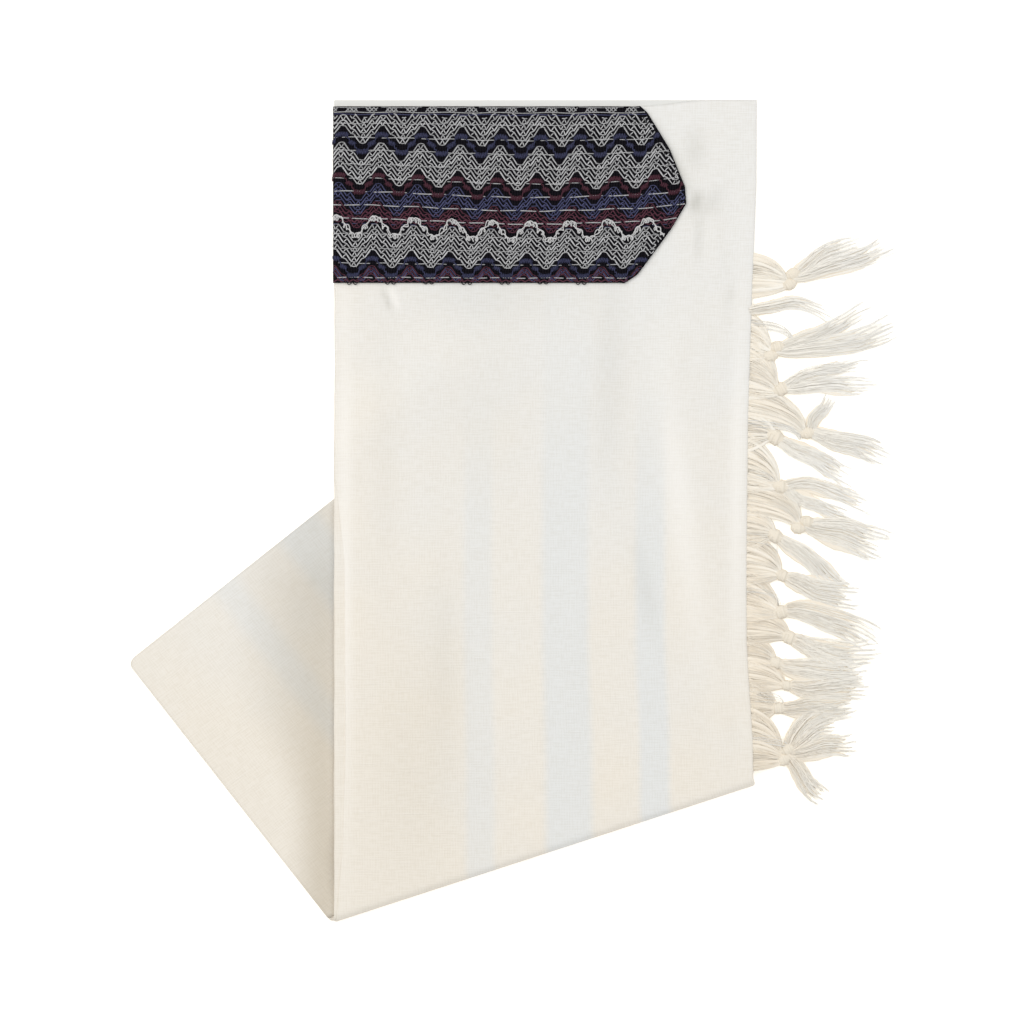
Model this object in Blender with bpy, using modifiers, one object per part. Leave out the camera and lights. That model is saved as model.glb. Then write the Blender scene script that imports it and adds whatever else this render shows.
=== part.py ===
"""A tallit (prayer shawl) folded small and laid flat, with its knotted fringe.

The shawl, 1.80 m by 0.82 m, is doubled at the middle of its neck band, then
folded in three, which gives a strip six layers deep.  The strip is turned
under along a slanting fold, so its rear stretch comes out on the left.

A place in the strip has three numbers: how far across it lies (0 at the left
folds), how far down from the neck edge, and how deep in the stack, which is
the radius at which that layer runs round the slanting fold.

Units are metres, +Z is up, the strip's length runs along Y, and the origin
lies under the middle of the whole, on the surface that carries it.
"""

import math

import bmesh
import bpy
import numpy as np

MM = 0.001

# ------------------------------------------------------------ driving sizes
STRIP_WIDTH = 300 * MM
STRIP_LEFT = -126 * MM
NECK_EDGE = 291 * MM
FOLD_FROM_NECK = 577.4 * MM
FOLD_SLOPE = math.radians(17.9)
REAR_ANGLE = math.radians(128.1)
REAR_LENGTH = 231 * MM
REAR_OVERHANG = 4.9 * MM
REAR_CORNER = 6 * MM

CLOTH = 1.0 * MM
SEAM_GAP = 0.3 * MM
HIDDEN_LAYERS = 3.2 * MM
BEND_INNER = CLOTH / 2 + SEAM_GAP
BEND_OUTER = BEND_INNER + HIDDEN_LAYERS
FRONT_OUTER = BEND_OUTER + SEAM_GAP + CLOTH
BEND_HEIGHT = FRONT_OUTER
STEP_DOWN = BEND_HEIGHT + BEND_INNER

PLATEAU = 18 * MM
RAMP = 50 * MM

LEFT_ROUND = 1.6 * MM
RIGHT_ROUND = 2.0 * MM
REAR_ROUND = 2.2 * MM
REAR_PANEL_START = 1.2 * MM
REAR_PANEL_INSET = 3 * MM
NECK_EDGE_DROP = 4.6 * MM
DROP_ENDS = 217 * MM
DROP_FADES = 53 * MM
BAND_CLOTH = 1.4 * MM

COLUMNS = 16
EDGE_COLUMN = 5 * MM
FRONT_STATIONS = 24
BEND_STATIONS = 6
REAR_STATIONS = 3
BAND_COLUMNS = 12

# How far the right-hand fold draws in: distance down, distance in (mm).
RIGHT_FOLD = (
    # down, in
    (0, 0.0),
    (60, 0.3),
    (142, 3.4),
    (227, 6.0),
    (326, 7.0),
    (383, 7.0),
    (412, 5.6),
    (455, 3.0),
    (520, 2.4),
)

# How far the front panel's left fold lies in from the rolls below it (mm).
FRONT_SET_BACK = (
    # down, in
    (0, 1.2),
    (268, 1.2),
    (330, 7.6),
    (460, 8.2),
    (530, 6.0),
    (578, 2.0),
)

# Section of the hidden layers at each side, from the outer face to the inner:
# distance in (mm), share of the layers' depth, and how far that row lies back
# from the two cut ends (mm).  Rows marked 1 follow the front's set-back.
LAYER_ROWS = (
    # left_in, follows, left_share, right_in, right_share, end_back
    (1.60, 1, 1.00, 2.00, 1.00, 1.2),
    (1.30, 1, 0.87, 1.30, 0.78, 0.0),
    (1.35, 1, 0.74, 1.50, 0.64, 1.1),
    (0.80, 0, 0.69, 2.20, 0.50, 0.4),
    (0.00, 0, 0.54, 2.50, 0.38, 0.2),
    (0.20, 0, 0.38, 0.90, 0.20, 1.2),
    (1.35, 0, 0.31, 0.50, 0.15, 0.0),
    (1.55, 0, 0.09, 0.50, 0.06, 0.4),
    (2.20, 0, 0.00, 1.10, 0.00, 1.2),
)

# Soft swells that stand in the front panel: middle across and down, half
# length, half width, height, and turn from the strip's length in degrees.
SWELLS = (
    # across, down, half_length, half_width, height, turn
    (256, 80, 66, 18, 0.8, 8),
    (150, 215, 120, 55, 0.6, 70),
    (60, 330, 90, 40, 0.6, 20),
    (205, 330, 110, 45, 0.7, -35),
    (258, 430, 60, 18, 0.8, 12),
    (95, 470, 80, 38, 0.6, -60),
)

# The swells die out over this much of each side, and this share of each end.
SWELL_SIDES = 12 * MM
SWELL_ENDS = 0.125

# The band starts just below the front panel's neck edge (mm).
BAND_FROM_EDGE = 0.2

# Outline of the neck band: distance down from its top edge, and reach across.
NECK_BAND = (
    # down, reach
    (0.0, 217),
    (4.6, 222),
    (18.0, 230),
    (32.0, 238),
    (46.0, 243.5),
    (60.0, 249),
    (72.0, 250.3),
    (88.0, 240.5),
    (107.0, 226),
    (119.0, 217),
    (125.0, 208),
)

# The tassels down the right-hand side.  Places are mm out from the strip's
# right edge and mm down from the neck edge; the fan is the stretch of cloth
# edge whose threads run to the knot.
TASSELS = (
    # fan_top, fan_foot, knot_out, knot_down, knot_wide
    (112, 138, 24, 127, 11),
    (147, 152, 12, 145, 5),
    (162, 184, 12, 178, 11),
    (191, 211, 17, 205, 9),
    (217, 222, 36, 236, 8),
    (230, 248, 13, 239, 10),
    (258, 276, 17, 274, 9),
    (284, 291, 32, 301, 11),
    (300, 318, 13, 309, 9),
    (326, 344, 18, 337, 8),
    (352, 368, 17, 363, 9),
    (374, 384, 23, 381, 9),
    (390, 402, 14, 399, 8),
    (408, 418, 21, 415, 7),
    (424, 440, 15, 431, 8),
    (448, 472, 20, 464, 11),
)

# The locks below each knot: which tassel, the bend and the tip (mm out and
# down), the spread at the tip, the number of strands, and the tip's height.
LOCKS = (
    # tassel, bend_out, bend_down, tip_out, tip_down, spread, strands, height
    (0, 40, 110, 70, 102, 8, 3, 0.8),
    (0, 56, 122, 92, 103, 9, 4, 0.8),
    (1, 26, 140, 48, 152, 6, 3, 0.8),
    (2, 40, 168, 76, 149, 7, 3, 0.8),
    (2, 54, 180, 95, 161, 11, 4, 0.8),
    (3, 36, 192, 74, 187, 6, 3, 0.8),
    (3, 40, 202, 78, 203, 8, 3, 0.8),
    (4, 42, 224, 52, 212, 6, 2, 0.8),
    (4, 60, 240, 89, 252, 11, 4, 0.8),
    (5, 34, 252, 63, 267, 9, 4, 0.8),
    (6, 44, 268, 77, 287, 7, 3, 0.8),
    (6, 34, 287, 66, 297, 6, 3, 0.8),
    (7, 58, 306, 88, 317, 16, 6, 0.8),
    (8, 34, 322, 60, 348, 9, 4, 3.6),
    (9, 42, 348, 68, 352, 12, 5, 0.8),
    (10, 42, 358, 79, 376, 10, 5, 0.8),
    (11, 42, 394, 81, 390, 11, 5, 0.8),
    (12, 38, 406, 76, 408, 9, 4, 0.8),
    (13, 44, 419, 73, 420, 8, 4, 0.8),
    (14, 42, 430, 66, 430.5, 8, 4, 0.8),
    (15, 34, 447, 54, 443, 9, 3, 0.8),
    (15, 44, 460, 67, 457, 10, 3, 0.8),
    (15, 34, 484, 46, 494, 9, 3, 0.8),
)

KNOT_LONG = 8.5 * MM
KNOT_HIGH = 5.0 * MM
KNOT_ROUNDING = 0.26
KNOT_LEVELS = (-1.0, -0.4, 0.4, 1.0)
CLEAR_OF_FLOOR = 0.3 * MM
STRAND_INSET = 0.22 * MM
WIDE_FAN = 5
NARROW_FAN = 3
WIDE_FAN_FROM = 12
FAN_STRAND = 0.8 * MM
FAN_THICK = 0.3 * MM
FAN_RING = 0.4
FAN_SAG = 0.6
FAN_DEPTH = BEND_INNER + 0.45 * MM
LAYER_ENDS_IN = 0.5 * MM
LOCK_STRAND = 1.1 * MM
STRAND_SHARE = 0.44
LOCK_THICK = 0.75 * MM
LOCK_CLEAR = 0.4 * MM
LOCK_SAG = 0.35
LOCK_TIP = 0.35
LOCK_RINGS = (0.28, 0.6, 1.0)
LOCK_RAGGED = 2.5 * MM
BEND_SPREAD = 0.55
ROUTE_STEP = 0.01

# ------------------------------------------------------------------ finishes
CLOTH_COLOUR = (0.84, 0.82, 0.77, 1.0)
LAYER_COLOUR = (0.80, 0.76, 0.69, 1.0)
BAND_COLOUR = (0.10, 0.11, 0.15, 1.0)
FRINGE_COLOUR = (0.86, 0.84, 0.79, 1.0)


def material(name, colour, roughness):
    """A plain Principled finish."""
    made = bpy.data.materials.new(name)
    made.use_nodes = True
    shader = made.node_tree.nodes["Principled BSDF"]
    shader.inputs["Base Color"].default_value = colour
    shader.inputs["Roughness"].default_value = roughness
    shader.inputs["Metallic"].default_value = 0.0
    return made


def empty_scene():
    """Remove every object and give the shawl a collection of its own."""
    for thing in list(bpy.data.objects):
        bpy.data.objects.remove(thing, do_unlink=True)
    parts = bpy.data.collections.new("tallit")
    bpy.context.scene.collection.children.link(parts)
    return parts


def ease(share):
    """0 to 1 with a level start and a level end."""
    share = np.clip(share, 0.0, 1.0)
    return share * share * (3.0 - 2.0 * share)


def table(rows, at):
    """Read a two-column table in millimetres at a place in metres."""
    places = [row[0] * MM for row in rows]
    values = [row[1] * MM for row in rows]
    return np.interp(at, places, values)


# ----------------------------------------------------------- the strip's plan
REAR_WAY = np.array([math.cos(REAR_ANGLE), math.sin(REAR_ANGLE)])
REAR_ACROSS = np.array([math.sin(REAR_ANGLE), -math.cos(REAR_ANGLE)])
BEND_OUTWARD = np.array([math.sin(FOLD_SLOPE), -math.cos(FOLD_SLOPE)])


def fold_down(across):
    """Distance down from the neck edge to the slanting fold."""
    return FOLD_FROM_NECK - across * math.tan(FOLD_SLOPE)


def front_plan(across, down):
    """Plan place of a point of the front stretch."""
    narrowed = 1.0 - table(RIGHT_FOLD, down) / STRIP_WIDTH
    return STRIP_LEFT + across * narrowed, NECK_EDGE - down


def overhang(across):
    """Place across where the fold is crossed, once fully turned under."""
    return across - REAR_OVERHANG * (1.0 - across / STRIP_WIDTH)


def rear_end(across):
    """Length of the rear stretch beyond the fold, its corner rounded off."""
    slant = math.cos(REAR_ANGLE - FOLD_SLOPE) / math.cos(FOLD_SLOPE)
    short = np.clip(REAR_CORNER - across, 0.0, REAR_CORNER)
    corner = REAR_CORNER - np.sqrt(REAR_CORNER**2 - short**2)
    return REAR_LENGTH - overhang(across) * slant - corner


def lies_on_rear(x, y):
    """Share of the rear stretch's height that carries the front one here."""
    foot_x, foot_y = front_plan(STRIP_WIDTH, fold_down(STRIP_WIDTH))
    beyond_side = (x - foot_x) * REAR_ACROSS[0] + (y - foot_y) * REAR_ACROSS[1]
    start_x, start_y = front_plan(0.0, fold_down(0.0))
    along = (x - start_x) * REAR_WAY[0] + (y - start_y) * REAR_WAY[1]
    beyond_end = along - REAR_LENGTH
    beyond = np.hypot(np.maximum(beyond_side, 0.0), np.maximum(beyond_end, 0.0))
    return 1.0 - ease((beyond - PLATEAU) / RAMP)


def front_place(across, down, depth):
    """Where a layer of the front stretch lies."""
    x, y = front_plan(across, down)
    z = BEND_HEIGHT + depth - STEP_DOWN * (1.0 - lies_on_rear(x, y))
    return np.stack(np.broadcast_arrays(x, y, z), axis=-1)


def bend_place(across, turn, depth):
    """Where a layer lies on its way round the slanting fold, 0 to pi."""
    shifted = across + (overhang(across) - across) * ease(turn / math.pi)
    x, y = front_plan(shifted, fold_down(shifted))
    out = depth * np.sin(turn)
    x = x + BEND_OUTWARD[0] * out
    y = y + BEND_OUTWARD[1] * out
    z = BEND_HEIGHT + depth * np.cos(turn)
    return np.stack(np.broadcast_arrays(x, y, z), axis=-1)


def rear_place(across, past, depth):
    """Where a layer of the rear stretch lies, past the slanting fold."""
    shifted = overhang(across)
    x, y = front_plan(shifted, fold_down(shifted))
    x = x + REAR_WAY[0] * past
    y = y + REAR_WAY[1] * past
    z = BEND_HEIGHT - depth
    return np.stack(np.broadcast_arrays(x, y, z), axis=-1)


def way_down(share, across, end_back):
    """Distance down at a share of the front, its cut end set back."""
    fade = np.clip(1.0 - share * FRONT_STATIONS / 2.0, 0.0, 1.0)
    return share * fold_down(across) + end_back * fade


def columns(start, end):
    """Places across the strip, with a narrow column at each side."""
    inner = np.linspace(start + EDGE_COLUMN, end - EDGE_COLUMN, COLUMNS - 1)
    return np.concatenate([[start], inner, [end]])


def swell(across, down):
    """Height of the soft swells in the front panel."""
    total = 0.0
    for row in SWELLS:
        mid, drop, half_length, half_width, height, turn = row
        lean = math.radians(turn)
        side = across - mid * MM
        way = down - drop * MM
        along = way * math.cos(lean) + side * math.sin(lean)
        off = side * math.cos(lean) - way * math.sin(lean)
        share = (along / (half_length * MM)) ** 2 + (off / (half_width * MM)) ** 2
        total = total + height * MM * np.exp(-2.0 * share)
    sides = np.minimum(across, STRIP_WIDTH - across)
    return total * ease(sides / SWELL_SIDES)


# ---------------------------------------------------------------- mesh makers
def add_object(parts, name, mesh, finish):
    """Link a mesh as a part of the shawl."""
    made = bpy.data.objects.new(name, mesh)
    made.data.materials.append(finish)
    parts.objects.link(made)
    return made


def sheet_mesh(name, points):
    """An open sheet through a grid of points, facing first x second axis."""
    rows, across = points.shape[:2]
    number = np.arange(rows * across).reshape(rows, across)
    near = number[:-1, :-1]
    faces = np.stack([near, number[1:, :-1], number[1:, 1:], number[:-1, 1:]], axis=-1)
    mesh = bpy.data.meshes.new(name)
    mesh.from_pydata(points.reshape(-1, 3).tolist(), [], faces.reshape(-1, 4).tolist())
    mesh.update()
    mesh.shade_smooth()
    return mesh


def wall(parts, name, points, thickness, side, finish):
    """A cloth wall: a sheet given its thickness to one side."""
    made = add_object(parts, name, sheet_mesh(name, points), finish)
    solid = made.modifiers.new("cloth", "SOLIDIFY")
    solid.thickness = thickness
    solid.offset = side
    solid.use_even_offset = True
    solid.use_rim = True
    return made


def block_mesh(points):
    """The closed skin of a block of points, indexed across, deep and along."""
    bm = bmesh.new()
    counts = points.shape[:3]
    corners = {}

    def corner(place):
        if place not in corners:
            corners[place] = bm.verts.new(points[place])
        return corners[place]

    def turned(axis, level, one, two):
        place = [0, 0, 0]
        place[axis] = level
        place[(axis + 1) % 3] = one
        place[(axis + 2) % 3] = two
        return tuple(place)

    for axis in range(3):
        for level in (0, counts[axis] - 1):
            for one in range(counts[(axis + 1) % 3] - 1):
                for two in range(counts[(axis + 2) % 3] - 1):
                    ring = ((one, two), (one + 1, two), (one + 1, two + 1), (one, two + 1))
                    bm.faces.new([corner(turned(axis, level, *pair)) for pair in ring])
    bmesh.ops.recalc_face_normals(bm, faces=bm.faces)
    return bm, corners


def mesh_from(bm, name):
    """Turn the edited mesh into a mesh of its own."""
    mesh = bpy.data.meshes.new(name)
    bm.to_mesh(mesh)
    bm.free()
    return mesh


# ---------------------------------------------------------------- cloth pieces
def front_section(set_back):
    """Across and depth of the front panel's outer face, left lip to right."""
    left = np.radians([190, 175, 150, 120])
    left_across = set_back + LEFT_ROUND + LEFT_ROUND * np.cos(left)
    left_depth = FRONT_OUTER - LEFT_ROUND + LEFT_ROUND * np.sin(left)
    flat = columns(set_back + LEFT_ROUND, STRIP_WIDTH - RIGHT_ROUND)
    right = np.radians([60, 30, 0, -30, -50])
    right_across = STRIP_WIDTH - RIGHT_ROUND + RIGHT_ROUND * np.cos(right)
    right_depth = FRONT_OUTER - RIGHT_ROUND + RIGHT_ROUND * np.sin(right)
    across = np.concatenate([left_across, flat, right_across])
    depth = np.concatenate([left_depth, np.full(flat.shape, FRONT_OUTER), right_depth])
    return across, depth


def front_start(across):
    """How far the front panel's neck edge lies below the layers behind it."""
    return NECK_EDGE_DROP * (1.0 - ease((across - DROP_ENDS) / DROP_FADES))


def front_panel(parts, finish):
    """The outermost cloth, over the front, round the fold and underneath."""
    rows = []
    for share in np.linspace(0.0, 1.0, FRONT_STATIONS + 1):
        across, depth = front_section(table(FRONT_SET_BACK, share * FOLD_FROM_NECK))
        down = way_down(share, across, front_start(across))
        fade = ease(share / SWELL_ENDS) * ease((1.0 - share) / SWELL_ENDS)
        place = front_place(across, down, depth)
        place[:, 2] += swell(across, down) * fade
        rows.append(place)
    across, depth = front_section(table(FRONT_SET_BACK, FOLD_FROM_NECK))
    for turn in np.linspace(0.0, math.pi, BEND_STATIONS + 1)[1:]:
        rows.append(bend_place(across, turn, depth))
    for share in np.linspace(0.0, 1.0, REAR_STATIONS + 1)[1:]:
        rows.append(rear_place(across, share * rear_end(across), depth))
    return wall(parts, "front_panel", np.array(rows), CLOTH, -1.0, finish)


def layer_station(set_back):
    """Across and depth of the hidden layers, and their set-back at a cut end."""
    left_in, follows, left_share, right_in, right_share, end_back = np.array(LAYER_ROWS).T
    left = left_in * MM + follows * set_back
    right = STRIP_WIDTH - right_in * MM
    share = columns(left[0], right[0])
    share = (share - share[0]) / (share[-1] - share[0])
    across = left + share[:, None] * (right - left)
    deep = left_share + share[:, None] * (right_share - left_share)
    depth = BEND_INNER + HIDDEN_LAYERS * deep
    return across, depth, end_back * MM


def folded_layers(parts, finish):
    """The layers between the outer cloths, as one body stepped at its edges."""
    stations = []
    for share in np.linspace(0.0, 1.0, FRONT_STATIONS + 1):
        across, depth, back = layer_station(table(FRONT_SET_BACK, share * FOLD_FROM_NECK))
        down = way_down(share, across, back)
        stations.append(front_place(across, down, depth))
    across, depth, back = layer_station(table(FRONT_SET_BACK, FOLD_FROM_NECK))
    for turn in np.linspace(0.0, math.pi, BEND_STATIONS + 1)[1:]:
        stations.append(bend_place(across, turn, depth))
    for share in np.linspace(0.0, 1.0, REAR_STATIONS + 1)[1:]:
        stations.append(rear_place(across, share * (rear_end(across) - back), depth))
    bm, _ = block_mesh(np.stack(stations, axis=2))
    return add_object(parts, "folded_layers", mesh_from(bm, "folded_layers"), finish)


def rear_panel(parts, finish):
    """The uppermost cloth of the rear stretch, rounded over its left folds."""
    lip = np.radians([172, 162, 140, 115])
    lip_across = REAR_ROUND + REAR_ROUND * np.cos(lip)
    lip_depth = REAR_ROUND - CLOTH / 2 - REAR_ROUND * np.sin(lip)
    flat = columns(REAR_ROUND, STRIP_WIDTH - REAR_PANEL_INSET)
    across = np.concatenate([lip_across, flat])
    depth = np.concatenate([lip_depth, np.full(flat.shape, -CLOTH / 2)])
    rows = []
    for share in np.linspace(0.0, 1.0, REAR_STATIONS + 1):
        past = REAR_PANEL_START + share * (rear_end(across) - REAR_PANEL_START - SEAM_GAP)
        rows.append(rear_place(across, past, depth))
    return wall(parts, "rear_panel", np.array(rows)[::-1], CLOTH, -1.0, finish)


def neck_band(parts, finish):
    """The neck band, laid on the front panel and round the middle fold."""
    reach = LEFT_ROUND + SEAM_GAP
    lip = np.radians([188, 175, 150, 120])
    set_back = FRONT_SET_BACK[0][1] * MM
    rows = []
    for down, far in NECK_BAND:
        flat = np.linspace(set_back + LEFT_ROUND, far * MM, BAND_COLUMNS)
        lip_across = set_back + LEFT_ROUND + reach * np.cos(lip)
        lip_depth = FRONT_OUTER - LEFT_ROUND + reach * np.sin(lip)
        across = np.concatenate([lip_across, flat])
        depth = np.concatenate([lip_depth, np.full(flat.shape, FRONT_OUTER + SEAM_GAP)])
        below = front_start(across) + (BAND_FROM_EDGE + down) * MM
        place = front_place(across, below, depth)
        fade = ease(below / fold_down(across) / SWELL_ENDS)
        place[:, 2] += swell(across, below) * fade
        rows.append(place)
    return wall(parts, "neck_band", np.array(rows), BAND_CLOTH, 1.0, finish)


# --------------------------------------------------------------------- fringe
def right_edge(down):
    """Plan place of the strip's right edge."""
    x, y = front_plan(STRIP_WIDTH, down)
    return float(x), float(y)


def beside(out, down):
    """Plan place so far out from the top of the strip's right edge."""
    return np.array([STRIP_LEFT + STRIP_WIDTH + out * MM, NECK_EDGE - down * MM])


def curve(start, bend, end, share):
    """A point of the arc from start to end that leans to the bend."""
    rest = 1.0 - share
    return start * rest * rest + bend * 2.0 * rest * share + end * share * share


def knot_block(wide, cells):
    """A round knot: a block of points, three cells high, swelled to a pebble."""
    a = np.linspace(-1.0, 1.0, 3)[:, None, None]
    b = np.linspace(-1.0, 1.0, cells + 1)[None, :, None]
    c = np.array(KNOT_LEVELS)[None, None, :]
    less_a = 1.0 - KNOT_ROUNDING * a**2
    less_b = 1.0 - KNOT_ROUNDING * b**2
    less_c = 1.0 - KNOT_ROUNDING * c**2
    along = a * less_b * less_c * KNOT_LONG / 2
    side = b * less_a * less_c * wide / 2
    high = c * less_a * less_b * KNOT_HIGH / 2
    return np.stack(np.broadcast_arrays(along, side, high), axis=-1)


def grow_strand(bm, face, side, rings):
    """Draw one face out through rings of centre, side, half width and depth."""
    centre = np.array(face.calc_center_median())
    for to, to_side, half_wide, half_high in rings:
        made = bmesh.ops.extrude_discrete_faces(bm, faces=[face])
        face = made["faces"][0]
        next_side = to_side * math.copysign(1.0, float(to_side @ side))
        for vert in face.verts:
            off = np.array(vert.co) - centre
            left = math.copysign(half_wide, off[0] * side[0] + off[1] * side[1])
            up = math.copysign(half_high, off[2])
            vert.co = (to[0] + left * next_side[0], to[1] + left * next_side[1], to[2] + up)
        centre = to
        side = next_side


def square_to(route, share):
    """Sideways direction, in plan, square to a route at this share of it."""
    way = curve(*route, share + ROUTE_STEP) - curve(*route, share - ROUTE_STEP)
    return np.array([-way[1], way[0]]) / np.hypot(way[0], way[1])


def clear_width(centres, side, number, most):
    """Half width of a strand at a ring that keeps it clear of the next ones."""
    near = centres[max(number - 1, 0) : number] + centres[number + 1 : number + 2]
    apart = [abs((other - centres[number])[:2] @ side) for other in near]
    return min([most] + [STRAND_SHARE * gap for gap in apart])


def lock_rings(routes):
    """Rings of every strand of the locks, which narrow to their tips."""
    rings = [[] for _ in routes]
    for share in LOCK_RINGS:
        centres = [curve(*route, share) for route in routes]
        high = LOCK_THICK * (1.0 - (1.0 - LOCK_TIP) * share**2)
        for number, route in enumerate(routes):
            side = square_to(route, share)
            wide = clear_width(centres, side, number, LOCK_STRAND)
            rings[number].append((centres[number], side, wide, high))
    return rings


def fan_rings(starts, roots):
    """Rings of every strand of a fan, which end flat along the cloth's edge."""
    routes = []
    for start, root in zip(starts, roots):
        x, y = right_edge(root * MM)
        z = BEND_HEIGHT + FAN_DEPTH - STEP_DOWN * (1.0 - lies_on_rear(x, y))
        end = np.array([x - LAYER_ENDS_IN + SEAM_GAP, y, z])
        bend = (start + end) / 2
        bend[2] = max(start[2] * FAN_SAG, z)
        routes.append((start, bend, end))
    along_edge = np.array([0.0, 1.0])
    centres = [curve(*route, FAN_RING) for route in routes]
    rings = []
    for number, route in enumerate(routes):
        side = square_to(route, FAN_RING)
        wide = clear_width(centres, side, number, FAN_STRAND)
        middle = (centres[number], side, wide, FAN_THICK)
        rings.append([middle, (route[2], along_edge, FAN_STRAND, FAN_THICK)])
    return rings


def lock_goals(locks, number):
    """Bend and tip of every strand, spread across its lock."""
    goals = []
    for _, bend_out, bend_down, tip_out, tip_down, spread, count, height in locks:
        bend = beside(bend_out, bend_down)
        tip = beside(tip_out, tip_down)
        run = (tip - bend) / np.linalg.norm(tip - bend)
        across = np.array([-run[1], run[0]]) * spread * MM
        for step in np.linspace(-0.5, 0.5, count):
            ragged = LOCK_RAGGED * math.sin(7.0 * step + number)
            end = tip + across * step + run * ragged
            goals.append((bend + across * step * BEND_SPREAD, np.append(end, height * MM)))
    return goals


def tassel(parts, number, row, locks, finish):
    """A knot with its fan of threads to the cloth and its locks beyond."""
    fan_top, fan_foot, knot_out, knot_down, knot_wide = row
    centre = np.append(beside(knot_out, knot_down), CLEAR_OF_FLOOR + KNOT_HIGH / 2)
    mean_bend = np.mean([beside(lock[1], lock[2]) for lock in locks], axis=0)
    way = mean_bend - centre[:2]
    way = way / np.hypot(way[0], way[1])
    side = np.array([-way[1], way[0]])

    goals = lock_goals(locks, number)
    goals.sort(key=lambda goal: (goal[0] - centre[:2]) @ side)
    fans = WIDE_FAN if fan_foot - fan_top > WIDE_FAN_FROM else NARROW_FAN
    local = knot_block(knot_wide * MM, max(len(goals), fans))
    points = np.empty_like(local)
    points[..., :2] = centre[:2] + local[..., :1] * way + local[..., 1:2] * side
    points[..., 2] = centre[2] + local[..., 2]
    bm, corners = block_mesh(points)

    def middle_faces(level):
        """The middle row of faces of one end of the knot, from side to side."""
        found = []
        for cell in range(points.shape[1] - 1):
            places = [(level, cell + i, 1 + j) for i in (0, 1) for j in (0, 1)]
            ring = {corners[place] for place in places}
            found += [face for face in bm.faces if set(face.verts) == ring]
        return found

    cells = middle_faces(points.shape[0] - 1)
    outer = [cells[round(i)] for i in np.linspace(0, len(cells) - 1, len(goals))]
    cells = middle_faces(0)
    inner = [cells[round(i)] for i in np.linspace(0, len(cells) - 1, fans)]
    bmesh.ops.inset_individual(bm, faces=outer + inner, thickness=STRAND_INSET)

    routes = []
    for face, (bend, tip) in zip(outer, goals):
        start = np.array(face.calc_center_median())
        low = start[2] * LOCK_SAG + LOCK_THICK + LOCK_CLEAR
        routes.append((start, np.append(bend, low), tip))
    for face, rings in zip(outer, lock_rings(routes)):
        grow_strand(bm, face, side, rings)
    roots = np.linspace(fan_foot, fan_top, fans)
    if side[1] < 0:
        roots = roots[::-1]
    starts = [np.array(face.calc_center_median()) for face in inner]
    for face, rings in zip(inner, fan_rings(starts, roots)):
        grow_strand(bm, face, side, rings)

    bmesh.ops.recalc_face_normals(bm, faces=bm.faces)
    name = f"tassel_{number + 1:02d}"
    return add_object(parts, name, mesh_from(bm, name), finish)


def fringe(parts, finish):
    """Every tassel with the locks that belong to it."""
    for number, row in enumerate(TASSELS):
        own = [lock for lock in LOCKS if lock[0] == number]
        tassel(parts, number, row, own, finish)


def main():
    parts = empty_scene()
    cloth = material("wool_cloth", CLOTH_COLOUR, 0.9)
    layers = material("folded_cloth", LAYER_COLOUR, 0.95)
    band = material("knitted_band", BAND_COLOUR, 0.9)
    thread = material("fringe_thread", FRINGE_COLOUR, 0.8)
    front_panel(parts, cloth)
    folded_layers(parts, layers)
    rear_panel(parts, cloth)
    neck_band(parts, band)
    fringe(parts, thread)


if __name__ == "__main__":
    main()
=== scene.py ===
import math
from typing import NamedTuple

import bpy
import numpy as np
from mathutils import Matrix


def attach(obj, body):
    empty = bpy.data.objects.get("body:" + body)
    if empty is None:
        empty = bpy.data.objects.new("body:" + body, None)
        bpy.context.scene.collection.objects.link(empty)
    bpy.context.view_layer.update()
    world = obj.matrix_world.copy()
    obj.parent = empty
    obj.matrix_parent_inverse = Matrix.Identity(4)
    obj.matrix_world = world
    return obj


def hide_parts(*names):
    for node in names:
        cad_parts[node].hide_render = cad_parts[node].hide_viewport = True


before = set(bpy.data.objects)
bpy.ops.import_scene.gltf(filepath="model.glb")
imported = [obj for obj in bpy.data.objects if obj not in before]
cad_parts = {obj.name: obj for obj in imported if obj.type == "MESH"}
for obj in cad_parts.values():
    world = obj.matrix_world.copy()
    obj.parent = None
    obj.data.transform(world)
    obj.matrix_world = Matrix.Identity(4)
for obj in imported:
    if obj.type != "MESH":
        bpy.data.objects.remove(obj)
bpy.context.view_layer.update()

# Looks of a folded prayer shawl: slub-woven cloth, zigzag neck band, knotted
# fringe.  A place in the folded strip has three numbers: how far across it lies,
# how far down from the neck edge, and its depth, which is the radius at which
# that layer runs round the slanting fold.  Every piece is worked out from those
# numbers.  The tables are in millimetres and degrees.

bl_info = {
    "name": "Folded Tallit",
    "version": (1, 0, 0),
    "blender": (4, 5, 0),
    "location": "View3D > Sidebar > Tallit",
    "description": "Builds the cloth, neck band, fringe and stage of a folded prayer shawl",
    "category": "Add Mesh",
}

MM = 0.001
WHITE = (1.0, 1.0, 1.0, 1.0)

# ---------------------------------------------------- the folded strip's plan
# Sizes over all, then the turned-under stretch, the heights of the stack, the
# ramp off the rear stretch, the rounded sides, and what sits on the neck edge.
STRIP_WIDTH = 300 * MM
STRIP_LEFT = -126 * MM
NECK_EDGE = 291 * MM
FOLD_FROM_NECK = 577.4 * MM
FOLD_SLOPE = math.radians(17.9)
REAR_ANGLE = math.radians(128.1)
REAR_LENGTH = 231 * MM
REAR_OVERHANG = 4.9 * MM
REAR_CORNER = 6 * MM
CLOTH = 1.0 * MM
SEAM_GAP = 0.3 * MM
BEND_INNER = CLOTH / 2 + SEAM_GAP
BEND_OUTER = BEND_INNER + 3.2 * MM
FRONT_OUTER = BEND_OUTER + SEAM_GAP + CLOTH
BEND_HEIGHT = FRONT_OUTER
STEP_DOWN = BEND_HEIGHT + BEND_INNER
PLATEAU = 18 * MM
RAMP = 50 * MM
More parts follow.
